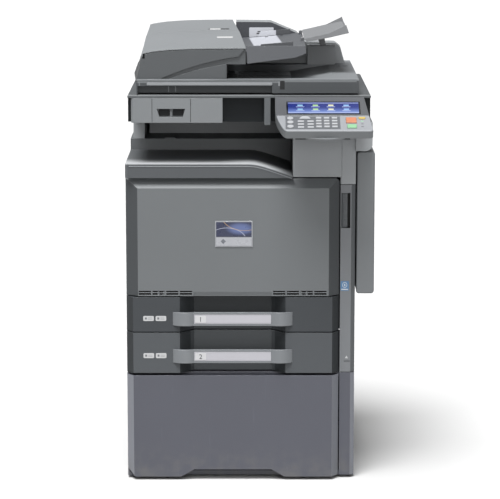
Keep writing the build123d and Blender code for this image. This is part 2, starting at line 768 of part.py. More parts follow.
def fuser_roller_centres():
    return [
        (fuser_centre_x - heat_roller_radius - 0.2, fuser_level),
        (fuser_centre_x + press_roller_radius + 0.2, fuser_level),
    ]


def fuser_roller(index, radius):
    centre = fuser_roller_centres()[index]
    body = rod("y", centre, engine_y[0] + 4, engine_y[1] - 4, radius)
    return body + rod("y", centre, engine_y[0] - 3, engine_y[1] + 3, 6.0)


pickup_radius = 6.5
pickup_shaft_radius = 3.0
pickup_y = (front + cassette_front_depth + 70.0, front + cassette_front_depth + 300.0)


def pickup_centre(number):
    """Roller over the right end of a cassette, where the paper leaves it."""
    top = cassette_bottoms[number] + cassette_front_heights[number] - cassette_headroom
    return (front_right - cassette_box_side - 60.0, top + pickup_radius + 1.0)


def pickup_roller(number):
    centre = pickup_centre(number)
    shaft = rod("y", centre, *pickup_y, pickup_shaft_radius)
    for share in (0.38, 0.62):
        middle = pickup_y[0] + share * (pickup_y[1] - pickup_y[0])
        shaft += rod("y", centre, middle - 14, middle + 14, pickup_radius)
    return shaft


# ---- side unit ------------------------------------------------------------------------------------------
side_y = (front + side_unit_front, rear - side_unit_rear)
side_pin = (side_left + 4.0, side_y[1] - 4.0)
side_pin_radius = 2.5
bypass_y = (side_y[0] + 60.0, side_y[0] + 60.0 + bypass_width)
bypass_z = (side_bottom + 46.0, side_bottom + 46.0 + bypass_length)
bypass_thickness = 14.0
bypass_pin = (side_right - 5.0, bypass_z[0] + 8.0)
bypass_pin_radius = 3.0


def right_cover():
    """Side unit that swings open on a vertical hinge and carries the bypass tray."""
    corner = 8.0
    unit = block((side_left, side_right), side_y, (side_bottom, side_top))
    unit = fillet(unit.edges().filter_by(Axis.Y), corner)
    unit = fillet(unit.faces().sort_by(Axis.Y)[0].edges(), corner / 2)
    unit -= block((side_left - 1, side_right - 2 * skin - bypass_thickness), (side_y[0] + skin, side_y[1] - 12), (side_bottom + skin, side_top - skin))
    pocket_x = (side_right - bypass_thickness - 2.0, side_right + 1)
    unit -= block(pocket_x, (bypass_y[0] - 1.5, bypass_y[1] + 1.5), (bypass_z[0] - 1.5, bypass_z[1] + 1.5))
    unit -= block(pocket_x, ((bypass_y[0] + bypass_y[1]) / 2 - 45, (bypass_y[0] + bypass_y[1]) / 2 + 45), (bypass_z[1], bypass_z[1] + 22))
    for y in (bypass_y[0] - 6, bypass_y[1] - 4):
        unit += rod("y", bypass_pin, y, y + 10, bypass_pin_radius)
    knuckle = 20.0
    for z in (side_bottom + 40, side_top - 60):
        unit -= block((side_left - 1, side_pin[0] + 5), (side_pin[1] - 6, side_y[1] + 1), (z - 0.5, z + knuckle + 0.5))
        unit += rod("z", side_pin, z - 4, z + knuckle + 4, side_pin_radius)
    return unit


def side_hinge():
    """Two hinge leaves on the machine's side, with eyes for the side unit's pins."""
    leaves = []
    for z in (side_bottom + 41.0, side_top - 59.0):
        eye = rod("z", side_pin, z, z + 18, side_pin_radius + 1.6)
        leaf = block((right, side_pin[0]), (side_pin[1] - 1.5, side_pin[1] + 1.5), (z, z + 18))
        leaf += block((right, right + 1.5), (side_pin[1] - 1.5, side_pin[1] + 30), (z, z + 18))
        leaf = (leaf + eye) - rod("z", side_pin, z - 1, z + 19, side_pin_radius + pin_clearance)
        leaves.append(leaf)
    return union(*leaves)


def bypass_tray():
    """Bypass tray, folded up flat in the side unit."""
    x = (side_right - bypass_thickness, side_right)
    tray = block(x, bypass_y, bypass_z)
    hollow_z = (bypass_z[0] + 20.0, bypass_z[1] - 12.0)
    tray -= block((x[0] - 1, x[1] - skin), (bypass_y[0] + 12, bypass_y[1] - 12), hollow_z)
    tray += block((x[0] + 2, x[0] + 4), (bypass_y[0] + 11, bypass_y[1] - 11), (hollow_z[0] - 1, hollow_z[1] + 1))
    lower_corner = tray.edges().filter_by(Axis.Y).group_by(Axis.Z)[0]
    tray = fillet(lower_corner, 6.0)
    tray -= rod("y", bypass_pin, bypass_y[0] - 1, bypass_y[0] + 7, bypass_pin_radius + pin_clearance)
    tray -= rod("y", bypass_pin, bypass_y[1] - 7, bypass_y[1] + 1, bypass_pin_radius + pin_clearance)
    return tray


# ---- scanner ----------------------------------------------------------------------------------------------
tub_front = front + scanner_front_set_back
tub_rear = rear - 6.0
glass_x = (scanner_left + 76.0, scanner_left + 76.0 + glass_length)
glass_y = (front + 58.0, front + 58.0 + glass_depth)
slit_x = (scanner_left + 36.0, scanner_left + 58.0)
carriage_level = tub_top - 6.0
rail_places = (glass_y[0] - 14.0, glass_y[1] + 14.0)
rail_radius = 4.0
rail_level = tub_top - 42.0
mirror_x = (scanner_left + 30.0, scanner_left + 66.0)
carriage_x = (mirror_x[1] + 6.0, mirror_x[1] + 66.0)


def scanner_base():
    """Scanner tub with the two carriage rails across it."""
    wall = 2.5
    tub = block((scanner_left, scanner_right), (tub_front, tub_rear), (scanner_bottom, tub_top))
    tub -= block(
        (scanner_left + wall, scanner_right - wall), (tub_front + wall, tub_rear - wall), (scanner_bottom + wall, tub_top + 1)
    )
    for y in rail_places:
        tub += rod("x", (y, rail_level), scanner_left + wall - 1, scanner_right - wall + 1, rail_radius)
    strip_x = (panel_left - 28.0, panel_left - 12.0)
    tub += block(strip_x, (front + 1, tub_front + 1), (scanner_bottom - 6, tub_top))
    return tub - block((strip_x[0] + 3, strip_x[1] - 3), (front + 4, tub_front), (scanner_bottom - 7, tub_top - 3))


def scanner_front_panel():
    """Light front panel of the scanner's left half, with a covered memory socket."""
    x = (scanner_left + 9.0, scanner_left + 9.0 + scanner_panel_width)
    z = (scanner_bottom, tub_top - 0.5)
    panel = block(x, (front + 1, tub_front), z)
    panel = fillet(panel.edges().filter_by(Axis.Z).group_by(Axis.Y)[0].sort_by(Axis.X)[0], 8.0)
    panel -= block((x[0] + skin, x[1] - skin), (front + 1 + skin, tub_front + 1), (z[0] + skin, z[1] - skin))
    socket_x = (x[0] + 68.0, x[0] + 143.0)
    socket_z = (scanner_bottom + 15.0, scanner_bottom + 37.0)
    panel += block((socket_x[0] - 2, socket_x[1] + 2), (front + 2, front + 14), (socket_z[0] - 2, socket_z[1] + 2))
    recess = [
        (socket_x[0] + 7, socket_z[0]),
        (socket_x[1] - 7, socket_z[0]),
        (socket_x[1], socket_z[1]),
        (socket_x[0], socket_z[1]),
    ]
    panel -= prism(recess, "y", front, front + 12)
    middle = sum(socket_x) / 2
    panel += block((middle - 1.5, middle + 1.5), (front + 4, front + 13), (socket_z[0] - 1, socket_z[1] - 8))
    return panel


def platen_frame():
    """Top frame of the scanner, holding both glasses."""
    frame = block((scanner_left, scanner_right), (front + 1, tub_rear), (tub_top, platen_top))
    edges = frame.edges().group_by(Axis.Z)[-1]
    frame = chamfer(edges, 3.0)
    ledge = 5.0
    for x in (glass_x, slit_x):
        frame -= block((x[0] - fit, x[1] + fit), (glass_y[0] - fit, glass_y[1] + fit), (platen_top - glass_thickness, platen_top + 1))
        frame -= block((x[0] + ledge, x[1] - ledge), (glass_y[0] + ledge, glass_y[1] - ledge), (tub_top - 1, platen_top + 1))
    return frame


def platen_glass():
    """Contact glass and the narrow slit glass beside it."""
    z = (platen_top - glass_thickness, platen_top)
    return block(glass_x, glass_y, z) + block(slit_x, glass_y, z)


def carriage(x, top, mirror_count):
    """Lamp or mirror carriage riding on both rails."""
    bed = (rail_places[0] - 8.0, rail_places[1] + 8.0)
    body = block(x, bed, (rail_level - 4.0, rail_level + 12.0))
    body += block((x[0], x[1]), (glass_y[0], glass_y[1]), (rail_level + 10.0, top))
    middle = (x[0] + x[1]) / 2
    body -= block((middle - 8, middle + 8), (glass_y[0] + 12, glass_y[1] - 12), (rail_level + 2.0, top + 1))
    for y in rail_places:
        body -= rod("x", (y, rail_level), x[0] - 1, x[1] + 1, rail_radius + pin_clearance)
        body -= block((x[0] - 1, x[1] + 1), (y - rail_radius - 0.1, y + rail_radius + 0.1), (rail_level - 5, rail_level))
    for i in range(mirror_count):
        low = rail_level + 4.0 + 8.0 * i
        body += block((middle - 9, middle + 9), (glass_y[0] + 13, glass_y[1] - 13), (low, low + 1.6))
    return body


# ---- control panel --------------------------------------------------------------------------------------------
panel_right = panel_left + panel_width
pivot_local = (panel_length - 20.0, -12.0)
pivot_radius = 4.0
pivot_eye = 8.0
bracket_x = (panel_left + 53.0, panel_right - 53.0)
bracket_arm = 8.0


def panel_point(v, w):
    """Y and Z of a point in the panel: v up its slope from the front lip, w out of its face."""
    a = radians(panel_tilt)
    y = -overall_depth / 2 + v * cos(a) - w * sin(a)
    return (y, panel_front_height + v * sin(a) + w * cos(a))


def on_panel(shape):
    """Places a shape that was drawn with the panel's face level and its front lip at Y = 0."""
    return Pos(0, -overall_depth / 2, panel_front_height) * Rot(panel_tilt, 0, 0) * shape


pivot = panel_point(*pivot_local)
screen_x = (panel_left + 29.0, panel_left + 29.0 + screen_width)
screen_v = (panel_length - screen_margin - screen_height, panel_length - screen_margin)
key_band = (9.0, screen_v[0] - 9.0)
start_key_at = (panel_right - 54.0, key_band[0] + 13.0)
stop_key_at = (panel_right - 55.0, key_band[0] + 44.0)
power_key_at = (panel_right - 27.0, key_band[0] + 56.0)
start_key_size = (24.0, 17.0)
stop_key_size = (27.0, 27.0)
power_key_size = (17.0, 9.0)
panel_skin = 3.0


def panel_outline(inset):
    """Edges of the panel seen square on: slanting right side, left side swept in towards the lip."""
    l, r, top = panel_left + inset, panel_right - inset, panel_length - inset
    low = inset
    foot = l + panel_taper_left
    corner = 8.0
    return [
        Line((foot + corner, low, 0), (r - corner, low, 0)),
        ThreePointArc((r - corner, low, 0), (r - 0.29 * corner, low + 0.29 * corner, 0), (r, low + corner, 0)),
        Line((r, low + corner, 0), (r - panel_taper_right, top, 0)),
        Line((r - panel_taper_right, top, 0), (l, top, 0)),
        Line((l, top, 0), (l, top - 60, 0)),
        Spline((l, top - 60, 0), (foot - 6, low + 24, 0), (foot + corner, low, 0), tangents=[(0, -1, 0), (1, -0.6, 0)]),
    ]


def panel_body(inset, w_top, w_low):
    """Panel volume between two depths, with a sloping belly."""
    slab = Pos(0, 0, w_low) * sweep_edges(panel_outline(inset), "z", w_top - w_low)
    return slab


def key_hole(at, size, margin):
    return block((at[0] - size[0] / 2 - margin, at[0] + size[0] / 2 + margin), (at[1] - size[1] / 2 - margin, at[1] + size[1] / 2 + margin), (-20, 5))


def panel_case():
    """Control panel housing, hollow below, with a screen pocket, key openings and hinge eyes."""
    belly = [(0, 1), (panel_length, 1), (panel_length, -14), (panel_length - 60, -panel_belly), (0, -panel_lip)]
    wide = prism(belly, "x", panel_left - 1, panel_right + 1)
    case = fillet(panel_body(0, 0, -panel_belly).faces().sort_by(Axis.Z)[-1].edges(), 2.5) & wide
    inner_belly = [(skin, -panel_skin), (panel_length - skin, -panel_skin), (panel_length - skin, -40), (skin, -40)]
    case -= panel_body(skin, -panel_skin, -40) & prism(inner_belly, "x", panel_left, panel_right)
    case -= block((screen_x[0] - fit, screen_x[1] + fit), (screen_v[0] - fit, screen_v[1] + fit), (-1.8, 1))
    mat_x, mat_v = mat_area()
    case -= block((mat_x[0] - fit, mat_x[1] + fit), (mat_v[0] - fit, mat_v[1] + fit), (-1.2, 1))
    for at, size in keys():
        case -= key_hole(at, size, 0.4)
    grip_mid = (panel_left + panel_right) / 2 + 2
    grip = [
        Line((grip_mid - 50, 2, 0), (grip_mid + 50, 2, 0)),
        ThreePointArc((grip_mid - 50, 2, 0), (grip_mid, -7, 0), (grip_mid + 50, 2, 0)),
    ]
    case += Pos(0, 0, -panel_lip - 3) * sweep_edges(grip, "z", 5)
    eye_v, eye_w = pivot_local
    for x in (bracket_x[0] - 7.0, bracket_x[1] + 1.0):
        eye = rod("x", (eye_v, eye_w), x, x + 6, 6.5) + block((x, x + 6), (eye_v - 6.5, eye_v + 6.5), (eye_w, -2.5))
        case += eye - rod("x", (eye_v, eye_w), x - 1, x + 7, pivot_radius + pin_clearance)
    return on_panel(case)


def keys():
    return [(start_key_at, start_key_size), (stop_key_at, stop_key_size), (power_key_at, power_key_size)]


def mat_area():
    return (panel_left + 26.0, panel_right - 84.0), (key_band[0] + 1, key_band[1] - 2)


def keypad_mat():
    """Rubber key mat: one moulding whose number and function keys flex in place."""
    mat_x, mat_v = mat_area()
    mat = block(mat_x, mat_v, (-1.2, 0.0))
    pitch = 15.0
    for column in range(3):
        for row in range(4):
            x = mat_x[1] - 14 - column * 20.4
            v = mat_v[0] + 10 + row * pitch
            mat += block((x - 7, x + 7), (v - 4.5, v + 4.5), (-0.5, 2.2))
    for column in range(2):
        for row in range(3):
            x = mat_x[0] + 39 + column * 25.0
            v = mat_v[0] + 8 + row * pitch
            mat += block((x - 8, x + 8), (v - 4, v + 4), (-0.5, 1.8))
    for v in (mat_v[0] + 12, mat_v[0] + 34, mat_v[0] + 54):
        mat += Pos(mat_x[0] + 12, v, 0.6) * Cylinder(8.0, 2.2)
    dial = Pos(mat_x[0] + 50, mat_v[1] - 16, 0.9) * (Cylinder(14.0, 2.4) - Pos(0, -10, 0) * Box(40, 20, 4))
    return on_panel(mat + dial)


def touch_screen():
    return on_panel(block(screen_x, screen_v, (-1.8, -0.2)))


def panel_key(at, size, proud):
    """Hard key cap with a flange under the panel's skin."""
    cap = block((at[0] - size[0] / 2, at[0] + size[0] / 2), (at[1] - size[1] / 2, at[1] + size[1] / 2), (-panel_skin - 1.5, proud))
    cap = fillet(cap.edges().group_by(Axis.Z)[-1], 1.0)
    flange = block(
        (at[0] - size[0] / 2 - 1.5, at[0] + size[0] / 2 + 1.5), (at[1] - size[1] / 2 - 1.5, at[1] + size[1] / 2 + 1.5), (-panel_skin - 2.5, -panel_skin - 0.3)
    )
    return on_panel(cap + flange)


def panel_bracket():
    """Neck that carries the panel: two arms with pivot pins, on a foot fixed to the exit cover."""
    foot_z = (scanner_bottom - 40.0, scanner_bottom - 15.0)
    foot_y = (pivot[0] - pivot_eye, urb_front)
    neck = block(bracket_x, foot_y, foot_z)
    neck -= block((bracket_x[0] + 10, bracket_x[1] - 10), (foot_y[0] + skin, foot_y[1] - skin), (foot_z[0] - 1, foot_z[1] - skin))
    for x in (bracket_x[0], bracket_x[1] - bracket_arm):
        arm_y = (pivot[0] - pivot_eye, pivot[0] + pivot_eye)
        neck += block((x, x + bracket_arm), arm_y, (foot_z[0], pivot[1]))
        neck += rod("x", pivot, x, x + bracket_arm, pivot_eye)
    neck += rod("x", pivot, bracket_x[0] - 6.5, bracket_x[0] + 1, pivot_radius)
    neck += rod("x", pivot, bracket_x[1] - 1, bracket_x[1] + 6.5, pivot_radius)
    return neck


# ---- document processor -----------------------------------------------------------------------------------------
lid_front = front + 1.0
lid_pin = (rear - 18.0, lid_bottom + 9.0)
lid_pin_radius = 4.0
lid_hinge_places = (lid_left + 70.0, lid_right - 110.0)
lid_hinge_width = 40.0
deck_left = lid_left + 236.0  # left end of the eject tray, under the feeder
table_origin = (feeder_right, lid_front + 14.0, deck_level + 71.0)
feeder_front_height = 82.0  # top of the feeder at its front right corner
feeder_crown_drop = 14.5  # how much lower its left shoulder is
feeder_crown_reach = 55.0
feeder_shoulder = 14.0  # the left shoulder's distance from the lid's side
feeder_wall_lean = 64.0
feeder_wall = 3.0


def on_table(shape):
    """Places a shape drawn with the table level: X along the paper, Y to the rear, Z off the table."""
    return Pos(*table_origin) * Rot(table_tilt, 0, 0) * Rot(0, -table_slope, 0) * shape


swell = 33.0  # how far the left side swells out at the rear, at the lid's base
swell_lean = 0.36
wall_slope = 0.24


def side_swell(low, high, rear_end, inner_high):
    """Swelling of the processor's left side between two levels: a shell open below, growing to the rear."""
    start = lid_front + 40.0

    def face(y, inset, root, ends):
        share = (y - start) / (lid_rear - start)
        edge = []
        back = []
        for z in ends:
            wall_x = wall_slope * max(z - deck_level, 0)
            edge.append((lid_left + share * (swell_lean * (z - lid_bottom) - swell) + (1 - share) * (wall_x + 1) + inset, y, z))
            back.append((lid_left + wall_x + root, y, z))
        return make_face(Polyline(edge[0], edge[1], back[1], back[0], close=True))

    outer = loft([face(start, 0, 1.5, (low, high)), face(rear_end, 0, 1.5, (low, high))])
    ends = (low - 1, inner_high)
    inner = loft([face(start + 170, skin, -0.2, ends), face(rear_end - skin, skin, -0.2, ends)])
    return outer - inner


def lid_base():
    """Lid tub of the document processor: floor, walls, front grip and hinge tongues."""
    wall = skin
    tub = block((lid_left, lid_right), (lid_front, lid_rear), (lid_bottom, deck_level - 4.0))
    tub -= block((lid_left + wall, lid_right - wall), (lid_front + 26.0, lid_rear - wall), (lid_bottom + wall, deck_level))
    grip_right = lid_left + 360.0
    tub -= block((lid_left + wall, grip_right - 4), (lid_front - 1, lid_front + 12.0), (lid_bottom - 1, deck_level - 18.0))
    tub -= block((lid_left + wall, lid_right - wall), (lid_front + 15.0, lid_front + 27.0), (lid_bottom + wall, deck_level))
    for x in lid_hinge_places:
        tongue = block((x, x + lid_hinge_width), (lid_rear - 1, lid_pin[0]), (lid_bottom + 2, lid_bottom + 16))
        tongue += rod("x", lid_pin, x, x + lid_hinge_width, 7.0)
        tub += tongue - rod("x", lid_pin, x - 1, x + lid_hinge_width + 1, lid_pin_radius + pin_clearance)
    return tub + side_swell(lid_bottom, deck_level - 4.0, lid_rear, deck_level + 1.0)


def lid_hinges():
    """Hinge blocks on the scanner, each with a pin through the lid's tongue."""
    blocks = []
    for x in lid_hinge_places:
        y = (lid_pin[0] - 7, rear - 8.0)
        ears = [block(e, y, (platen_top, lid_pin[1] + 6)) for e in ((x - 9, x - 1), (x + lid_hinge_width + 1, x + lid_hinge_width + 9))]
        pin = rod("x", lid_pin, x - 2, x + lid_hinge_width + 2, lid_pin_radius)
        blocks.append(union(*ears, pin))
    return union(*blocks)


def platen_pad():
    """White foam pad that presses the original on the glass."""
    return block((glass_x[0] - 12, glass_x[1] + 6), (glass_y[0] - 10, glass_y[1] + 10), (platen_top + fit, lid_bottom))


def eject_tray():
    """Deck of the lid: sunken tray for finished originals, with ribs, and the front edge strip."""
    deck = block((deck_left, lid_right), (lid_front, lid_rear), (deck_level - 4.0, deck_level))
    deck += block((deck_left, lid_right - skin - 1), (lid_front + 30.0, lid_rear - skin - 1), (deck_level - 22.0, deck_level - 3))
    tray_y = (lid_front + 34.0, lid_front + 420.0)
    ramp_end = lid_right - 62.0
    hollow = [
        (deck_left - 1, deck_level - 18.0),
        (ramp_end - 110.0, deck_level - 18.0),
        (ramp_end, deck_level + 1),
        (deck_left - 1, deck_level + 1),
    ]
    deck -= prism(hollow, "y", *tray_y)
    deck += block((lid_left, deck_left), (lid_front, lid_front + 10), (deck_level - 4.0, deck_level))
    rib_count = 7
    for i in range(rib_count):
        y = tray_y[0] + 40 + i * 48.0
        deck += block((deck_left + 30, ramp_end - 112), (y, y + 3), (deck_level - 19, deck_level - 14))
    thumb = rod("z", (lid_right - 26, lid_front + 380), deck_level - 3.0, deck_level + 1, 13.0)
    return deck - thumb


def feeder_form(drop, left_inset, y_inset=0.0, right_inset=0.0):
    """Feeder volume: a top that rises to the rear and is crowned from left to right, and a leaning left wall."""
    y = (lid_front + 8.0 + y_inset, lid_front + 8.0 + feeder_depth - y_inset)
    low = deck_level
    first = feeder_front_height - drop
    last = feeder_top - deck_level - drop
    crest = 0.42 * feeder_depth

    def section(u):
        fall = feeder_crown_drop * exp((feeder_shoulder - u) / feeder_crown_reach)
        x = lid_left + u
        side = [
            (x, y[0], low - 40),
            (x, y[0], low + first - fall),
            (x, lid_front + 8.0 + crest, low + first + 0.62 * (last - first) - fall),
            (x, y[1], low + last - fall),
            (x, y[1], low - 40),
        ]
        return make_face(Polyline(*side, close=True))

    station_count = 8
    reach = feeder_width + 110.0
    slope = loft([section(-20.0 + reach * (i / station_count) ** 1.5) for i in range(station_count + 1)])
    start = lid_left - 20.0
    slope &= block((start, feeder_right - right_inset), (y[0] - 1, y[1] + 1), (low - drop, feeder_top + 30))
    lean = feeder_wall_lean
    points = [(0, -10), (7.5, 0.5 * lean), (13.5, lean), (16.5, 1.6 * lean), (17.5, 2.4 * lean)]
    left_wall = Spline(*[(lid_left + left_inset + u, 0, low + w) for u, w in points])
    far = feeder_right + 100.0
    edges = [
        left_wall,
        Line(left_wall @ 1, (far, 0, (left_wall @ 1).Z)),
        Line((far, 0, (left_wall @ 1).Z), (far, 0, low - 10)),
        Line((far, 0, low - 10), left_wall @ 0),
    ]
    return slope & (Pos(0, y[0] - 10, 0) * sweep_edges(edges, "y", y[1] - y[0] + 20))


mouth_back = 40.0  # how far the feeder's right end falls back at the rear


def mouth_cut():
    """Cuts the feeder's right end along a slanting plan line and leans it inwards."""
    y0, y1 = lid_front, lid_front + feeder_depth + 30
    points = [(feeder_right + 1, y0), (feeder_right - mouth_back, y1), (feeder_right + 90, y1), (feeder_right + 90, y0)]
    return prism(points, "z", deck_level - 1, feeder_top + 30)


cover_seam = 3.6
top_cover_pin = (lid_left + 17.5, deck_level + 60.0)
top_cover_pin_radius = 2.0
top_cover_eyes = (lid_front + 70.0, lid_front + feeder_depth - 72.0)
top_groove_y = lid_front + 8.0 + 0.52 * feeder_depth
mouth_x = lid_left + 237.0  # left end of the eject opening under the feeder
mouth_level = deck_level + 38.0


def dp_top_cover():
    """Feeder's top cover, opened to clear a jam: a thin sloping shell hinged low on its left side."""
    cover = feeder_form(0, 0) - feeder_form(cover_seam, cover_seam, -6, -60)
    cover -= block((lid_left - 30, lid_left + 60), (lid_front - 20, rear), (deck_level - 50, deck_level + 59))
    cover -= block((lid_left + 50, feeder_right + 50), (lid_front - 20, rear), (deck_level - 50, deck_level + 50))
    cover -= mouth_cut()
    groove = block((lid_left - 5, feeder_right), (top_groove_y, top_groove_y + 1.6), (deck_level + 62, feeder_top + 5))
    cover -= groove & (feeder_form(-2, -2, 0, -60) - feeder_form(1.2, 1.2, 0, -60))
    px, pz = top_cover_pin
    for y in top_cover_eyes:
        for side in (y - 9, y + 13):
            cover -= block((lid_left, px + 7), (side - 0.6, side + 8.6), (pz - 8, pz + 9))
        eye = rod("y", top_cover_pin, y, y + 12, 4.0) + block((px - 3, px + 4), (y, y + 12), (pz, pz + 14))
        cover += eye & feeder_form(0.8, 0.8)
        cover -= rod("y", top_cover_pin, y - 1, y + 13, top_cover_pin_radius + pin_clearance)
    return cover


def dp_feeder():
    """Feeder housing: front, rear and left walls, a paper guide and the top cover's pins."""
    drop = cover_seam + 1.0
    px, pz = top_cover_pin
    y = (lid_front + 8.0, lid_front + 8.0 + feeder_depth)
    body = feeder_form(drop, 0) - feeder_form(drop - 4, feeder_wall, 10.0, -60)
    body &= block((lid_left - 30, feeder_right + 50), (y[0] - 5, y[1] + 5), (deck_level, feeder_top + 30))
    body -= block((lid_left - 5, px + 12), (y[0] + 2.5, y[1] - 2.5), (deck_level + 53, feeder_top))
    body -= block((lid_left - 5, px + 4.5), (y[0] - 5, y[1] + 5), (deck_level + 53, feeder_top))
    body -= mouth_cut()
    arch_cut = [
        ThreePointArc(
            (lid_left + 60, 0, deck_level - 1), (lid_left + 150, 0, deck_level + 33), (feeder_right - 19, 0, deck_level + 59)
        ),
        Line((feeder_right - 19, 0, deck_level + 59), (feeder_right, 0, deck_level + 82)),
        Line((feeder_right, 0, deck_level + 82), (feeder_right + 20, 0, deck_level + 82)),
        Line((feeder_right + 20, 0, deck_level + 82), (feeder_right + 20, 0, deck_level - 1)),
        Line((feeder_right + 20, 0, deck_level - 1), (lid_left + 60, 0, deck_level - 1)),
    ]
    body -= Pos(0, lid_front - 1, 0) * sweep_edges(arch_cut, "y", 14.0)
    lower = [
        ThreePointArc(
            (lid_left + 86, 0, deck_level), (lid_left + 152, 0, deck_level + 21), (mouth_x, 0, deck_level + 39)
        ),
        Line((mouth_x, 0, deck_level + 39), (mouth_x, 0, deck_level)),
        Line((mouth_x, 0, deck_level), (lid_left + 86, 0, deck_level)),
    ]
    mouth = block((mouth_x, feeder_right + 20), (y[0] - 5, y[1] - 6), (deck_level - 1, mouth_level))
    body -= mouth
    body += Pos(0, lid_front + 8.5, 0) * sweep_edges(lower, "y", 8.0)
    body += block((mouth_x - skin, mouth_x), (y[0], y[1] - 1), (deck_level, mouth_level + 2))
    roof = block((lid_left + 60, feeder_right - 1), (y[0] + 8, y[1] - 5), (mouth_level, mouth_level + skin))
    body += roof - mouth_cut()
    cx, cz = feed_roller_at
    for y0 in (feed_roller_y[0] + 0.5, feed_roller_y[1] - 4.5):
        post = block((cx - 5, cx + 5), (y0, y0 + 4), (mouth_level + skin - 1, cz + 6))
        body += post - rod("y", feed_roller_at, y0 - 1, y0 + 5, feed_shaft_radius + pin_clearance)
    for eye_y in top_cover_eyes:
        for side in (eye_y - 9, eye_y + 13):
            post = block((px - 4.2, px + 6), (side, side + 8), (deck_level + 1, pz))
            body += post + (rod("y", top_cover_pin, side, side + 8, 4.0) & block((px - 5, px + 6), (side, side + 8), (pz - 5, pz + 5)))
        body += rod("y", top_cover_pin, eye_y - 2, eye_y + 14, top_cover_pin_radius)
    return body + side_swell(deck_level, deck_level + 50.0, y[1], deck_level + 40.0)


feed_roller_at = (feeder_right - 92.0, deck_level + 56.0)
feed_roller_radius = 11.0
feed_shaft_radius = 4.0
feed_roller_y = (lid_front + 130.0, lid_front + 330.0)


def dp_feed_roller():
    shaft = rod("y", feed_roller_at, *feed_roller_y, feed_shaft_radius)
    middle = sum(feed_roller_y) / 2
    for offset in (-28, 28):
        shaft += rod("y", feed_roller_at, middle + offset - 14, middle + offset + 14, feed_roller_radius)
    return shaft


guide_height = 14.0
guide_thickness = 4.0
guide_u = (32.0, 126.0)
guide_vs = (22.0, table_depth - 16.0)
guide_travel = 90.0
guide_feet = (guide_u[0] + 26.0, guide_u[1] - 26.0)
extension_pin_u = table_length - 5.0
extension_pin_w = 6.0
extension_v = (extension_front_space, extension_front_space + extension_depth)
extension_eyes = (extension_v[0] + 30.0, extension_v[1] - 40.0)
extension_pin_radius = 2.5
prop_v = extension_v[1] - 16.0


def document_table():
    """Sloping table for originals: floor, front wall, hollow underside and the guides' slots."""
    table = block((-18, table_length), (8, table_depth), (-skin, 0))
    rim = 1.5 + (table_length - 2) * sin(radians(table_slope))
    wall = [(2, -32), (128, -27), (table_length, -18), (table_length, 1.5), (2, rim)]
    table += prism(wall, "y", 0, 4) - block((-19, 0), (-1, 5), (-50, 5))
    belly = [(2, -32), (128, -27), (128, -1), (2, -1)]
    under = prism(belly, "y", 0, table_depth)
    inside = prism([(2 + skin, -32 + skin), (128 - skin, -27 + skin), (128 - skin, -skin - 0.5), (2 + skin, -skin - 0.5)], "y", skin, table_depth - skin)
    table = table + under - inside
    table += block((2, table_length), (0, 10), (-skin, 0))
    for foot in guide_feet:
        for v, way in zip(guide_vs, (1, -1)):
            ends = sorted((v - way * 5, v + way * (guide_travel + 5)))
            table -= block((foot - 3.5, foot + 3.5), tuple(ends), (-2.2, 4))
    for v in extension_eyes:
        pin = rod("y", (extension_pin_u, extension_pin_w), v - 4, v + 14, extension_pin_radius)
        table += pin
        for side in (v - 7, v + 11):
            table += block((extension_pin_u - 4, extension_pin_u + 4), (side, side + 6), (-2, extension_pin_w + 3))
    return on_table(table)


def width_guide(index):
    """Width guide for originals: upright plate on two feet that run in the table's slots."""
    v = guide_vs[index]
    outline = [(guide_u[0], 0.4), (guide_u[1], 0.4), (guide_u[1], guide_height), (guide_u[0] + 10, guide_height)]
    plate = prism(outline, "y", v - guide_thickness / 2, v + guide_thickness / 2)
    for foot in guide_feet:
        plate += block((foot - 3, foot + 3), (v - 2, v + 2), (-1.6, 3))
    return on_table(plate)


def table_extension():
    """Swing-out extension of the document table, with side flanges, an end lip and a prop."""
    length = extension_length
    v = extension_v
    plate = block((5, length), v, (-1, 2))
    flange = [
        (9, -7),
        (length * 0.6, -9),
        (length + 4, -8),
        (length + 1, 15),
        (length - 6, 13),
        (length * 0.62, 3),
        (9, 2),
    ]
    for y in (v[0], v[1] - 3):
        plate += prism(flange, "y", y, y + 3)
    plate += prism([(length - 3, -1), (length, -1), (length + 2, 4), (length, 4)], "y", *v)
    plate += prism([(40, 0), (64, 0), (62, -70), (50, -70)], "y", prop_v, prop_v + 6)
    for y in extension_eyes:
        plate += block((0, 6), (y, y + 10), (-2, 2)) + rod("y", (0, 0), y, y + 10, 4.5)
        plate -= rod("y", (0, 0), y - 1, y + 11, extension_pin_radius + pin_clearance)
    return on_table(Pos(extension_pin_u, 0, extension_pin_w) * Rot(0, -extension_rise, 0) * plate)


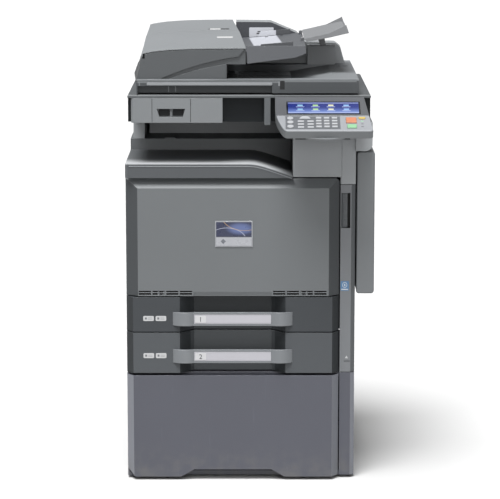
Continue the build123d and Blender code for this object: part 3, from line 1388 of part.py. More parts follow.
def dp_rear_cover():
    """Rear wall of the document processor, high behind the table and low at its right end."""
    y = (lid_front + feeder_depth - 20.0, lid_rear)
    low_top = deck_level + 60.0

    def outline(inset):
        x0 = feeder_right - mouth_back + 12.0 + inset
        base = deck_level + (0 if inset == 0 else -1)
        return [
            (x0, base),
            (x0, feeder_top - 4.5 - inset),
            (table_origin[0] + 70, feeder_top - 5.5 - inset),
            (table_origin[0] + 144, low_top + 24 - inset),
            (table_origin[0] + 160, low_top - inset),
            (lid_right - 45, low_top - 4 - inset),
            (lid_right - 31 - inset / 2, low_top - 15 - inset),
            (lid_right - 18 - inset, base),
        ]

    wall = prism(outline(0), "y", *y) - prism(outline(skin), "y", y[0] + skin, y[1] - skin)
    ledge_y = (table_origin[1] + prop_v - 12.0, y[0] + 1)
    ledge_x = (table_origin[0] + 172, lid_right - 48)
    top = low_top - 8
    ledge = block(ledge_x, ledge_y, (deck_level, top))
    ledge -= block((ledge_x[0] + skin, ledge_x[1] - skin), (ledge_y[0] + skin, ledge_y[1] - skin), (deck_level - 1, top - skin))
    slot_x = table_origin[0] + extension_pin_u + 26
    prop_y = table_origin[1] + prop_v
    ledge -= block((slot_x, slot_x + 56), (prop_y - 5, prop_y + 11), (deck_level + 6, top + 1))
    return wall + ledge


# ---- all pieces ----------------------------------------------------------------------------------------------------
pieces = {
    "cabinet_case": cabinet_case(),
    "cabinet_feet": cabinet_feet(),
    "cabinet_door": cabinet_door(),
    "chassis": chassis(),
    "left_cover": left_cover(),
    "rear_cover": rear_cover(),
    "right_side_cover": right_side_cover(),
    "right_column": right_column(),
    "release_lever": release_lever(),
    "front_cover": front_cover(),
    "front_badge": front_badge(),
    "front_bezel": front_bezel(),
    "output_tray": output_tray(),
    "exit_back_wall": exit_back_wall(),
    "upper_right_cover": upper_right_cover(),
    "exit_roller": exit_roller(),
    "toner_containers": toner_containers(),
    "drum_units": drum_units(),
    "transfer_belt_unit": transfer_belt_unit(),
    "laser_unit": laser_unit(),
    "fuser_case": fuser_case(),
    "heat_roller": fuser_roller(0, heat_roller_radius),
    "press_roller": fuser_roller(1, press_roller_radius),
    "right_cover": right_cover(),
    "side_hinge": side_hinge(),
    "bypass_tray": bypass_tray(),
    "scanner_base": scanner_base(),
    "scanner_front_panel": scanner_front_panel(),
    "platen_frame": platen_frame(),
    "platen_glass": platen_glass(),
    "scan_carriage": carriage(carriage_x, carriage_level, 1),
    "mirror_carriage": carriage(mirror_x, carriage_level - 10.0, 2),
    "panel_case": panel_case(),
    "touch_screen": touch_screen(),
    "keypad_mat": keypad_mat(),
    "start_key": panel_key(start_key_at, start_key_size, 3.0),
    "stop_key": panel_key(stop_key_at, stop_key_size, 3.0),
    "power_key": panel_key(power_key_at, power_key_size, 2.5),
    "panel_bracket": panel_bracket(),
    "lid_base": lid_base(),
    "lid_hinges": lid_hinges(),
    "platen_pad": platen_pad(),
    "eject_tray": eject_tray(),
    "dp_top_cover": dp_top_cover(),
    "dp_feeder": dp_feeder(),
    "dp_feed_roller": dp_feed_roller(),
    "document_table": document_table(),
    "width_guide_front": width_guide(0),
    "width_guide_rear": width_guide(1),
    "table_extension": table_extension(),
    "dp_rear_cover": dp_rear_cover(),
}
for number in cassette_bottoms:
    pieces[f"cassette_{number}_front"] = cassette_front(number)
    pieces[f"cassette_{number}_handle"] = cassette_handle(number)
    pieces[f"cassette_{number}_box"] = cassette_box(number)
for number in cassette_bottoms:
    pieces[f"pickup_roller_{number}"] = pickup_roller(number)

for name, shape in pieces.items():
    save(name, shape)
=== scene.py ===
import math

import bpy
import numpy as np
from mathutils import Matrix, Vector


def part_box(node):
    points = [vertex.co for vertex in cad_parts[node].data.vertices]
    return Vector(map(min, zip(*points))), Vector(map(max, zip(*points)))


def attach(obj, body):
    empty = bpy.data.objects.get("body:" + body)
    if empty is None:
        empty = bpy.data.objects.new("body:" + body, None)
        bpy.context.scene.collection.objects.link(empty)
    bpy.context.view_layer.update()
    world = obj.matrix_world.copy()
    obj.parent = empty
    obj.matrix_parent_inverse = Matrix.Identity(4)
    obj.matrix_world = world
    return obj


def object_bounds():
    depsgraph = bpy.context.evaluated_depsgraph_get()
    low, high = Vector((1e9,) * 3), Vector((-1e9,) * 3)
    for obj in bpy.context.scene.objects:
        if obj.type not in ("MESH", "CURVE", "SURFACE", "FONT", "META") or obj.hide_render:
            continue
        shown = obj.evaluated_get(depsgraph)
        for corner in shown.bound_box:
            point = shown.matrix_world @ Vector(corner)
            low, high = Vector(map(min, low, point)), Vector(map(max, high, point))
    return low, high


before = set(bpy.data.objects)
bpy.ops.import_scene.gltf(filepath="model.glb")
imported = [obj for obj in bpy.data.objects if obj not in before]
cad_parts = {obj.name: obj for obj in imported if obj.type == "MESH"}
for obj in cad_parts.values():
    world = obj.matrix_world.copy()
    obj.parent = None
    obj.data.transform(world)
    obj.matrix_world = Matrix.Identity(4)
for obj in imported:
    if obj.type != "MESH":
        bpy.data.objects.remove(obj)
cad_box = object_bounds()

# ---- Cabinet ------------------------------------------------------------------------------------
# The stand is folded sheet steel with a hinged door, powder coated blue-grey. The coat is slightly
# pebbled, is painted paler on the folds, partly for wear and partly as a painted highlight, and holds dust and
# scuffs near the floor. Its sides are painted paler than its front, as painted light.


class Varying:
    """A value that varies over a surface. Python's operators add the Math nodes that work it out."""

    def __init__(self, finish, socket):
        self.finish, self.socket = finish, socket

    def math(self, operation, *values):
        return self.finish.node("ShaderNodeMath", {"operation": operation}, dict(enumerate(values)))

    def __add__(self, other): return self.math("ADD", self, other)
    def __sub__(self, other): return self.math("SUBTRACT", self, other)
    def __rsub__(self, other): return self.math("SUBTRACT", other, self)
    def __mul__(self, other): return self.math("MULTIPLY", self, other)
    def __truediv__(self, other): return self.math("DIVIDE", self, other)
    def __abs__(self): return self.math("ABSOLUTE", self)
    def __mod__(self, other): return self.math("FLOORED_MODULO", self, other)
    __radd__, __rmul__ = __add__, __mul__

    def rise(self, low, high):
        """0 below low, 1 above high, and a smooth step between them."""
        span = {"Value": self, "From Min": low, "From Max": high}
        return self.finish.node("ShaderNodeMapRange", {"interpolation_type": "SMOOTHSTEP"}, span)

    def within(self, low, high, soft):
        """1 from low to high, with edges that fade over soft."""
        return self.rise(low - soft, low + soft) * (1 - self.rise(high - soft, high + soft))


class Finish:
    """A material on one Principled shader. node() adds any node: its settings first, then its sockets."""

    def __init__(self, name, sockets):
        self.material = bpy.data.materials.new(name)
        self.material.use_nodes = True
        self.tree = self.material.node_tree
        self.shader = self.tree.nodes["Principled BSDF"]
        self.fill(self.shader, sockets)
        self.place = self.node("ShaderNodeTexCoord", {}, {}, "Object")

    def fill(self, node, sockets):
        for key, value in sockets.items():
            if isinstance(value, Varying):
                self.tree.links.new(value.socket, node.inputs[key])
            else:
                node.inputs[key].default_value = value

    def node(self, kind, settings, sockets, output=0):
        node = self.tree.nodes.new(kind)
        for key, value in settings.items():
            if key == "stops":
                first, last = node.color_ramp.elements
                first.position, first.color = value[0]
                last.position, last.color = value[-1]
                for position, colour in value[1:-1]:
                    node.color_ramp.elements.new(position).color = colour
            elif key == "steps":
                node.color_ramp.interpolation = value
            else:
                setattr(node, key, value)
        self.fill(node, sockets)
        return Varying(self, node.outputs[output])

    def along(self, axis, place=None):
        return self.node("ShaderNodeSeparateXYZ", {}, {0: place or self.place}, axis)

    def stretched(self, x, y, z):
        return self.node("ShaderNodeMapping", {}, {"Vector": self.place, "Scale": (x, y, z)})

    def noise(self, scale, detail=2.0, place=None):
        return self.node("ShaderNodeTexNoise", {}, {"Vector": place or self.place, "Scale": scale, "Detail": detail})

    def cells(self, scale, output="Distance"):
        return self.node("ShaderNodeTexVoronoi", {}, {"Vector": self.place, "Scale": scale}, output)

    def mix(self, share, a, b):
        return self.node("ShaderNodeMix", {"data_type": "RGBA"}, {0: share, 6: a, 7: b}, 2)

    def facing(self, axis):
        """How far the surface faces along an axis, as the size of that part of its normal."""
        return abs(self.along(axis, self.node("ShaderNodeNewGeometry", {}, {}, "Normal")))

    def region(self, low, high, soft=0.0004):
        """1 inside a box, given by its corners."""
        x, y, z = (self.along(axis).within(low[axis], high[axis], soft) for axis in range(3))
        return x * y * z

    def edge(self, radius):
        """The rounded normal, and a mask that is 1 where it leaves the true normal, on edges, and 0 on flats."""
        rounded = self.node("ShaderNodeBevel", {"samples": 4}, {"Radius": radius})
        true = self.node("ShaderNodeNewGeometry", {}, {}, "Normal")
        same = self.node("ShaderNodeVectorMath", {"operation": "DOT_PRODUCT"}, {0: rounded, 1: true}, "Value")
        return rounded, (1 - same).rise(0.01, 0.3)

    def bumped(self, height, distance, under=None):
        sockets = {"Height": height, "Distance": distance}
        return self.node("ShaderNodeBump", {}, sockets | ({"Normal": under} if under else {}))

    def surface(self, **sockets):
        self.fill(self.shader, {key.replace("_", " "): value for key, value in sockets.items()})
        return self


def tone(*levels):
    """Display levels from 0 to 255 as the share of light that a surface gives back in this studio: linear light,
    by the power curve that displays use, over the light that falls on an upright surface."""
    return tuple(((np.array(levels) / 255 + 0.055) / 1.055) ** 2.4 * 0.345) + (1.0,)


def shade(colour, factor):
    """A colour made lighter or darker by a factor."""
    return tuple(min(1.0, part * factor) for part in colour[:3]) + (1.0,)


def coat(finish, *nodes):
    """Gives CAD nodes their finish, in every one of their material slots."""
    for node in nodes:
        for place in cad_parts[node].material_slots:
            place.material = finish.material


def powder_coat(name, colour, side_shading_colour, roughness):
    """Powder coat: faint peel, folds painted paler, partly for wear and partly as a painted highlight, long
    scratches, and dust near the floor. Faces turned to the side take their own colour, which paints in how the light
    falls on them."""
    finish = Finish(name, {"Specular IOR Level": 0.35})
    rounded, edge = finish.edge(0.0015)
    peel = finish.noise(380, 2)
    patches = finish.noise(4, 4)
    wear_and_highlight = (finish.noise(45, 5) * edge).rise(0.28, 0.6)
    dust = (1 - finish.along(2).rise(0.0, 0.12)) * finish.noise(30, 4).rise(0.35, 0.75)
    scratch = finish.noise(90, 3, finish.stretched(1, 1, 0.06)).rise(0.66, 0.7) * 0.25
    colour_now = finish.mix(patches, shade(colour, 0.93), shade(colour, 1.07))
    # Side faces in their own colour: painted light.
    colour_now = finish.mix(finish.facing(0).rise(0.3, 0.5), colour_now, side_shading_colour)
    # Paler folds: partly wear, partly a painted highlight.
    colour_now = finish.mix(wear_and_highlight * 0.7, colour_now, shade(colour, 2.2))
    colour_now = finish.mix(scratch, colour_now, shade(colour, 1.5))
    colour_now = finish.mix(dust * 0.3, colour_now, tone(150, 146, 138))
    normal = finish.bumped(peel + scratch * -0.5, 0.0002, rounded)
    rough = roughness + patches * 0.12 + dust * 0.2 - wear_and_highlight * 0.1
    return finish.surface(Base_Color=colour_now, Roughness=rough, Normal=normal)


# The cabinet's sides are painted paler than its front: painted light.
cabinet_coat = powder_coat("cabinet_coat", tone(96, 98, 109), tone(150, 153, 162), 0.42)
coat(cabinet_coat, "cabinet_case", "cabinet_door")


def rubber(name, colour):
    """Rubber with a matt bloom: fine pores, and a greyish haze in patches."""
    finish = Finish(name, {"Specular IOR Level": 0.25})
    rounded, edge = finish.edge(0.0008)
    bloom = finish.noise(60, 5).rise(0.4, 0.75)
    # Haze in patches, and edges painted paler as a painted highlight.
    colour_now = finish.mix(bloom * 0.35 + edge * 0.2, colour, shade(colour, 2.6))
    return finish.surface(Base_Color=colour_now, Roughness=0.78 - edge * 0.12 + bloom * 0.1,
                          Normal=finish.bumped(finish.cells(1100), 0.0001, rounded))


coat(rubber("foot_rubber", tone(38, 38, 38)), "cabinet_feet")

# ---- Paper cassettes ----------------------------------------------------------------------------
# Two drawers of moulded plastic: a grey front, a paper box, and a bow handle with a pale label strip.
# The mouldings have a spark-eroded grain, satin where hands rub them, and slight sheen differences.


def moulded(name, colour, side_shading_colour=None, roughness=0.5, grain=0.00012, parts=(), gloss=0.35):
    """Grained plastic: a pebbled skin, cloudy sheen, edges painted paler, partly for wear and partly as a painted
    highlight, and a little dust in the grain. Faces turned to the side can take their own colour, which paints in how
    the light falls on them. parts are boxes of another colour: (low corner, high corner, colour, and how softly they
    fade)."""
    finish = Finish(name, {"Specular IOR Level": gloss})
    rounded, edge = finish.edge(0.0012)
    cloud = finish.noise(7, 4)
    pebble = finish.cells(850) + finish.noise(1600, 1) * 0.5
    speck = finish.noise(260, 2).rise(0.62, 0.72)
    wear_and_highlight = (finish.noise(70, 4) + edge).rise(0.75, 1.35)
    colour_now = finish.mix(cloud, shade(colour, 0.95), shade(colour, 1.05))
    # Side faces in their own colour, which paints in how the light falls on them.
    if side_shading_colour:
        colour_now = finish.mix(finish.facing(0).rise(0.3, 0.5), colour_now, side_shading_colour)
    for low_corner, high_corner, part_colour, *soft in parts:
        colour_now = finish.mix(finish.region(low_corner, high_corner, *soft), colour_now, part_colour)
    # Paler edges: partly wear, partly a painted highlight.
    colour_now = finish.mix(wear_and_highlight * 0.55, colour_now, shade(colour, 1.45))
    colour_now = finish.mix(speck * 0.06, colour_now, shade(colour, 1.5))
    normal = finish.bumped(pebble, grain, rounded)
    return finish.surface(Base_Color=colour_now, Roughness=roughness + cloud * 0.1 - wear_and_highlight * 0.12, Normal=normal)


# Painted shade: the upper drawer's front is darker than the lower's, for the front cover's shadow; the recess round
# the handle is painted darker, and faces turned to the side darker still.
for number, level in ((1, 76), (2, 96)):
    low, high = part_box(f"cassette_{number}_front")
    recess_shade_grey = tone(level - 8, level - 4, level - 1)
    recess_shade = ((-0.160, low.y + 0.002, low.z - 0.01), (0.066, high.y, high.z + 0.01), recess_shade_grey)
    front_grey = moulded(f"drawer_grey_{number}", tone(level, level + 4, level + 8), tone(58, 62, 65),
                         parts=[recess_shade], gloss=0.2)
    coat(front_grey, f"cassette_{number}_front")
coat(moulded("paper_box_plastic", tone(58, 61, 64), roughness=0.55), "cassette_1_box", "cassette_2_box")
handle_grey = moulded("handle_grey", tone(142, 146, 150), roughness=0.38, grain=0.00004)
coat(handle_grey, "cassette_1_handle", "cassette_2_handle")


def piece(name, points, faces, finish, body, uv=None):
    """Puts points and faces into a mesh at the origin, with its UV map, and gives it finish and body."""
    mesh = bpy.data.meshes.new(name)
    mesh.from_pydata(np.reshape(points, (-1, 3)).tolist(), [], [list(face) for face in faces])
    if uv is not None:
        corner = np.empty(len(mesh.loops), int)
        mesh.loops.foreach_get("vertex_index", corner)
        mesh.uv_layers.new(name="face").data.foreach_set("uv", np.reshape(uv, (-1, 2))[corner].ravel())
    mesh.materials.append(finish.material)
    made = bpy.data.objects.new(name, mesh)
    bpy.context.scene.collection.objects.link(made)
    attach(made, body)
    return made


def flat(origin, across, up):
    """Places (u, v, lift) on a plane: origin + u across + v up + lift along across x up."""
    axes = np.array([across, up, np.cross(across, up)], float)
    return lambda u, v, lift: np.array(origin) + np.stack([u, v, lift], -1) @ axes


def upright(x, y, z):
    """A place that faces the front, centred at x, y and z."""
    return flat((x, y, z), (1, 0, 0), (0, 0, 1))


def walls_of(rings, count):
    """The faces between successive rings of count points each."""
    around, low = np.arange(count), (np.arange(rings - 1) * count)[:, None]
    after = (around + 1) % count
    return np.stack([low + around, low + after, low + count + after, low + count + around], -1).reshape(-1, 4)


def closed(rings, count):
    """The faces of a stack of rings, closed by fans to the two points that follow them."""
    around, top, foot = np.arange(count), (rings - 1) * count, rings * count
    after = (around + 1) % count
    caps = np.concatenate([
        np.stack([around * 0 + foot, after, around], -1),
        np.stack([around * 0 + foot + 1, top + around, top + after], -1),
    ])
    return walls_of(rings, count).tolist() + caps.tolist()


def tile(name, place, size, corner, height, finish, body, rim=0.0004, steps=4):
    """A plate with rounded corners: corner centres plus a radius times (cos, sin), carried through rings for
    its foot, wall, quarter-round rim and face, each ring inset and lifted, and closed with a point at each side."""
    angle = (np.arange(4)[:, None] + np.linspace(0, 1, steps)).ravel() * np.pi / 2
    half = np.array(size) / 2
    sign = np.repeat([[1, 1], [-1, 1], [-1, -1], [1, -1]], steps, 0)
    arc = np.stack([np.cos(angle), np.sin(angle)], -1)
    rings = np.array([[0, 0], [0, height - rim], [0.3 * rim, height - 0.3 * rim], [rim, height]])
    shrink = np.array([0.66, 0.33])
    outline = sign * (half - corner) + arc * corner
    inset = rings[:, None, :1] * (arc * 0.5 + sign * 0.5)
    points = np.concatenate([outline - inset, shrink[:, None, None] * outline])
    lift = np.repeat(np.append(rings[:, 1], [height, height]), len(angle))
    u, v = np.append(points[..., 0].ravel(), [0, 0]), np.append(points[..., 1].ravel(), [0, 0])
    lift = np.append(lift, [0, height])
    uv = np.stack([u, v], -1) / size + 0.5
    return piece(name, place(u, v, lift), closed(len(points), len(angle)), finish, body, uv)


def printed(name, ground, paint, roughness=0.35):
    """A printed or moulded sign: paint(finish, u, v) returns (mask, colour) pairs, laid on in turn."""
    finish = Finish(name, {"Specular IOR Level": 0.45})
    spot = finish.node("ShaderNodeTexCoord", {}, {}, "UV")
    colour_now = finish.mix(finish.noise(40, 4), shade(ground, 0.94), ground)
    ink = None
    for mask, colour in paint(finish, finish.along(0, spot), finish.along(1, spot)):
        colour_now = finish.mix(mask, colour_now, colour)
        ink = mask if ink is None else ink + mask
    height = finish.noise(700, 2) * 0.4 + (ink if ink is not None else 0)
    return finish.surface(Base_Color=colour_now, Roughness=roughness + finish.noise(25, 3) * 0.15,
                          Normal=finish.bumped(height, 0.00003))


def unprinted(finish, u, v):
    return []


def strip_paint(finish, u, v):
    """A pale strip with a fine rule near each long edge."""
    sheen = finish.noise(9, 3)
    rule = v.within(0.06, 0.11, 0.01) + v.within(0.89, 0.94, 0.01)
    return [(sheen * 0.3, tone(214, 214, 220)), (rule * 0.35, tone(150, 150, 158))]


def size_sign(finish, u, v):
    """A small sheet and two rules in grey: a paper-size sign without lettering."""
    sheet = u.within(0.16, 0.34, 0.02) * v.within(0.3, 0.72, 0.03)
    rules = u.within(0.44, 0.84, 0.02) * ((v * 4) % 1).within(0.35, 0.62, 0.05) * v.within(0.26, 0.78, 0.02)
    return [(sheet, tone(120, 123, 128)), (rules, tone(135, 138, 142))]


def digit(name, text, height, thick, place, finish, body):
    """A numeral: the font's outline made a solid mesh, centred, scaled to height, then placed."""
    curve = bpy.data.curves.new(name, "FONT")
    curve.body, curve.extrude, curve.resolution_u = text, 0.05, 3
    drawn = bpy.data.objects.new(name + "_line", curve)
    bpy.context.scene.collection.objects.link(drawn)
    solid = bpy.data.meshes.new_from_object(drawn.evaluated_get(bpy.context.evaluated_depsgraph_get()))
    bpy.data.objects.remove(drawn)
    at = np.empty(len(solid.vertices) * 3)
    solid.vertices.foreach_get("co", at)
    at = at.reshape(-1, 3)
    middle = (at.max(0) + at.min(0)) / 2
    size = height / 0.7
    u, v, lift = ((at - middle) * (size, size, thick / 0.1)).T
    faces = [tuple(face.vertices) for face in solid.polygons]
    bpy.data.meshes.remove(solid)
    return piece(name, place(u, v, lift + thick / 2), faces, finish, body)


strip_finish = printed("label_strip", tone(214, 213, 220), strip_paint)
sign_finish = printed("size_sign", tone(226, 227, 228), size_sign)
number_tile_finish = printed("number_tile", tone(236, 236, 238), unprinted)
ink_finish = printed("dark_ink", tone(40, 42, 46), unprinted)

for number in (1, 2):
    low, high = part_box(f"cassette_{number}_handle")
    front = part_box(f"cassette_{number}_front")[0].y
    middle, level = (low.x + high.x) / 2, (low.z + high.z) / 2
    drawer = f"cassette_{number}"
    on_bar = upright(middle, front - 0.0071, level)
    tile(f"{drawer}_label_strip", on_bar, (0.2052, 0.0244), 0.0008, 0.0013, strip_finish, drawer)
    on_tile = upright(middle - 0.0855, front - 0.0083, level)
    tile(f"{drawer}_number_tile", on_tile, (0.0290, 0.0190), 0.0012, 0.0007, number_tile_finish, drawer,
         0.0002)
    on_digit = upright(middle - 0.0855, front - 0.0089, level)
    digit(f"{drawer}_number", str(number), 0.0125, 0.0004, on_digit, ink_finish, drawer)
    for index, x in enumerate((middle - 0.2246, middle - 0.1915)):
        at = upright(x, front + 0.0002, level + 0.0005)
        tile(f"{drawer}_size_sign_{index + 1}", at, (0.0285, 0.0138), 0.0028, 0.0006, sign_finish, drawer,
             0.0002)

# ---- Print engine -------------------------------------------------------------------------------
# Behind the covers: a zinc-plated frame, the laser box, four drum units with toner bottles above, the
# transfer belt, the fixing unit and the rubber-covered paper rollers, all screwed to the frame.


def zinc(name, colour, roughness=0.34, spangle=35, dark_front=None):
    """Plated sheet steel: crystals of slightly different grey, faint rolling lines and dull finger marks. Arms in
    front of dark_front are blackened."""
    finish = Finish(name, {"Metallic": 1.0})
    rounded, edge = finish.edge(0.0008)
    crystal = finish.along(0, finish.cells(spangle, "Color"))
    rolled = finish.noise(300, 2, finish.stretched(1, 0.02, 1))
    marks = finish.noise(12, 4).rise(0.5, 0.8)
    colour_now = finish.mix(crystal * 0.5 + rolled * 0.2, shade(colour, 0.86), shade(colour, 1.08))
    # Paler edges: a painted highlight.
    colour_now = finish.mix(edge * 0.5, colour_now, shade(colour, 1.25))
    if dark_front:
        black = 1 - finish.along(1).rise(dark_front - 0.0005, dark_front)
        colour_now = finish.mix(black, colour_now, (0.02, 0.02, 0.022, 1))
    return finish.surface(Base_Color=colour_now,
                          Roughness=roughness + marks * 0.15 + crystal * 0.06 - edge * 0.08,
                          Normal=finish.bumped(rolled, 0.00003, rounded))


coat(zinc("zinc_plate", (0.52, 0.53, 0.54, 1), dark_front=-0.178), "chassis")
coat(moulded("laser_box_black", tone(40, 42, 44), roughness=0.5), "laser_unit")
coat(moulded("fixing_unit_black", tone(48, 46, 44), roughness=0.55), "fuser_case")
coat(moulded("engine_black", tone(45, 47, 50), roughness=0.42), "drum_units")
coat(rubber("roller_rubber", tone(78, 78, 80)), "heat_roller", "exit_roller")
coat(rubber("press_roller_red", tone(120, 70, 60)), "press_roller")


def film(name, colour):
    """Polyimide belt: a dark glossy film with fine lines along its travel and faint toner bands."""
    finish = Finish(name, {"Coat Weight": 0.3, "Coat Roughness": 0.1})
    lines = finish.noise(500, 2, finish.stretched(0.02, 1, 1))
    bands = finish.noise(8, 3, finish.stretched(0.1, 1, 1)).rise(0.4, 0.7)
    colour_now = finish.mix(bands * 0.5 + lines * 0.2, colour, shade(colour, 1.9))
    return finish.surface(Base_Color=colour_now, Roughness=0.22 + bands * 0.15, Normal=finish.bumped(lines, 0.00002))


coat(film("belt_film", tone(46, 44, 43)), "transfer_belt_unit")

bottle_low, bottle_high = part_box("toner_containers")
toner_tones = [tone(60, 64, 68), tone(40, 120, 170), tone(168, 50, 100), tone(205, 175, 40)]


def toner_finish():
    """Four bottles in grey plastic, each with a front grip in its toner's colour, told apart by their place."""
    finish = Finish("toner_plastic", {"Specular IOR Level": 0.45})
    rounded, edge = finish.edge(0.001)
    share = (finish.along(0) - bottle_low.x) / (bottle_high.x - bottle_low.x)
    hue = finish.node("ShaderNodeValToRGB", {"steps": "CONSTANT", "stops": [
        (index / 4, colour) for index, colour in enumerate(toner_tones)]}, {0: share})
    grip = 1 - finish.along(1).rise(bottle_low.y + 0.012, bottle_low.y + 0.013)
    body = finish.mix(finish.noise(9, 4), tone(52, 54, 57), tone(64, 66, 70))
    colour_now = finish.mix(grip, body, hue)
    # Paler edges: a painted highlight.
    return finish.surface(Base_Color=finish.mix(edge * 0.3, colour_now, tone(150, 152, 155)),
                          Roughness=0.42 + finish.noise(15, 3) * 0.2 - edge * 0.1,
                          Normal=finish.bumped(finish.cells(900), 0.00008, rounded))


coat(toner_finish(), "toner_containers")
for number in (1, 2):
    coat(rubber(f"pickup_tyre_{number}", tone(120, 122, 126)), f"pickup_roller_{number}")

# ---- Outer covers -------------------------------------------------------------------------------
# The engine's skins are grey flame-resistant plastic with a fine even grain, clipped to the frame and
# held at the rear by screws. The right column carries the release lever and a blue sign.

coat(moulded("cover_grey", tone(118, 122, 126)), "left_cover", "rear_cover", "right_side_cover")
# The column's top block is painted much paler than the cover grey, which its sides keep: painted light against the
# control panel's shadow.
coat(moulded("column_top_painted_light", tone(184, 188, 191), tone(118, 122, 126)), "upper_right_cover")
lever_low, lever_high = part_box("release_lever")
# Painted shade: the grip pocket round the release lever is near-black. The column's front is painted paler than the
# cover grey, which its sides keep, as painted light against the panel's shadow.
pocket_shade = ((lever_low.x - 0.003, lever_low.y - 0.004, lever_low.z - 0.002), (0.2665, 0.2, lever_high.z + 0.002))
column_grey = moulded("column_grey", tone(140, 143, 147), tone(110, 114, 117), parts=[(*pocket_shade, tone(20, 22, 24))])
coat(column_grey, "right_column")
coat(moulded("lever_grey", tone(98, 102, 106), roughness=0.4), "release_lever")


def blue_sign(finish, u, v):
    """A white ring with a leaf in it, over a white band: a plain energy sign without lettering."""
    ring = ((u - 0.5) * (u - 0.5) + (v - 0.6) * (v - 0.6)).within(0.055, 0.085, 0.006)
    leaf = ((u - 0.5) * (u - 0.5) * 3 + (v - 0.6) * (v - 0.6)).rise(0.016, 0.022)
    band = v.within(0.08, 0.2, 0.02) * u.within(0.1, 0.9, 0.02)
    return [(ring, tone(235, 240, 245)), (1 - leaf, tone(220, 232, 240)), (band, tone(230, 235, 240))]


column_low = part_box("right_column")[0]
sign_at = upright(0.2525, column_low.y - 0.0001, 0.529)
tile("energy_sign", sign_at, (0.0225, 0.0260), 0.002, 0.0005, printed("blue_sign", tone(84, 140, 190), blue_sign),
     "main_unit", 0.0002)


def turned(name, centre, way, profile, finish, body, steps=24, start=0.0):
    """A turned piece: profile rows (radius, height) carried round the line through centre along way. Few steps
    give a prism, whose first corner stands at the angle start."""
    way = np.array(way, float)
    side = np.cross(way, (0.0, 0.0, 1.0) if abs(way[2]) < 0.9 else (1.0, 0.0, 0.0))
    side /= np.linalg.norm(side)
    angle = start + np.arange(steps) * 2 * np.pi / steps
    circle = np.cos(angle)[:, None] * side + np.sin(angle)[:, None] * np.cross(way, side)
    radius, height = np.array(profile, float).T
    rings = radius[:, None, None] * circle + height[:, None, None] * way
    points = np.concatenate([rings.reshape(-1, 3), height[[0, -1], None] * way]) + centre
    return piece(name, points, closed(len(radius), steps), finish, body)


screw_steel = zinc("screw_steel", (0.45, 0.46, 0.48, 1), 0.3, 300)
rear_low, rear_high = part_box("rear_cover")
screw_profile = [(0.0042, -0.0005), (0.0042, 0.0004), (0.0036, 0.0014), (0.0016, 0.0018), (0.0013, 0.0009)]
screw_x = (rear_low.x + 0.03, (rear_low.x + rear_high.x) / 2, rear_high.x - 0.03)
screw_z = (rear_low.z + 0.02, (rear_low.z + rear_high.z) / 2, rear_high.z - 0.02)
for row, z in enumerate(screw_z):
    for column, x in enumerate(screw_x):
        turned(f"rear_screw_{row}_{column}", (x, rear_high.y, z), (0, 1, 0), screw_profile, screw_steel,
               "main_unit", 12)

white_ink = printed("white_ink", tone(226, 228, 230), unprinted)
arrow_profile = [(0.0050, -0.0003), (0.0050, 0.0004), (0.0045, 0.0006)]
turned("column_arrow", (0.2585, column_low.y, 0.3335), (0, -1, 0), arrow_profile, white_ink, "main_unit", 3,
       -math.pi / 2)

# ---- Front cover and bezel ----------------------------------------------------------------------
# The front cover is one large grained moulding hinged at its bottom edge. A name plate with a picture
# but no lettering sits in its middle. The bezel above it edges the output tray.

# The front cover's chamfers are painted darker than its face, as painted shade, and the bezel's sides paler than its
# front, as a painted highlight.
coat(moulded("front_cover_grey", tone(123, 127, 130), tone(77, 81, 84)), "front_cover")
coat(moulded("bezel_grey", tone(88, 92, 96), tone(120, 124, 128)), "front_bezel")


def reach(node, axis, p, q):
    """The highest place along an axis where a CAD node's triangles pass over the points (p, q), which are along
    the other two axes. Each point's barycentric shares are worked out in all triangles at once."""
    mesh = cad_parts[node].data
    mesh.calc_loop_triangles()
    corner = np.empty(len(mesh.loop_triangles) * 3, int)
    mesh.loop_triangles.foreach_get("vertices", corner)
    at = np.empty(len(mesh.vertices) * 3)
    mesh.vertices.foreach_get("co", at)
    a, b, c = np.moveaxis(at.reshape(-1, 3)[corner].reshape(-1, 3, 3), 1, 0)
    first, second = [other for other in range(3) if other != axis]
    ab, ac = b - a, c - a
    whole = ab[:, first] * ac[:, second] - ab[:, second] * ac[:, first]
    level = np.abs(whole) > 1e-12
    a, ab, ac, whole = a[level], ab[level], ac[level], whole[level]
    dp, dq = p[:, None] - a[:, first], q[:, None] - a[:, second]
    t = (dp * ac[:, second] - dq * ac[:, first]) / whole
    s = (ab[:, first] * dq - ab[:, second] * dp) / whole
    height = a[:, axis] + t * ab[:, axis] + s * ac[:, axis]
    inside = (t >= -1e-5) & (s >= -1e-5) & (t + s <= 1 + 1e-5)
    return np.where(inside, height, -9.0).max(1)


def bead(name, path, radius, finish, body, steps=7):
    """A half-round bead on an upright front: a half circle carried along path, standing out towards -y, with a
    flat back and closed ends."""
    path = np.array(path, float)
    run = np.gradient(path, axis=0)
    side = np.cross(run / np.linalg.norm(run, axis=1)[:, None], (0, -1, 0))
    angle = np.linspace(0, np.pi, steps)[:, None, None]
    rings = path + radius * (np.cos(angle) * side + np.sin(angle) * np.array((0, -1, 0)))
    points = np.swapaxes(rings, 0, 1)
    first = np.arange(steps)
    last = (len(path) - 1) * steps + first
    ends = [list(first), list(last[::-1])]
    return piece(name, points, walls_of(len(path), steps)[:, ::-1].tolist() + ends, finish, body)


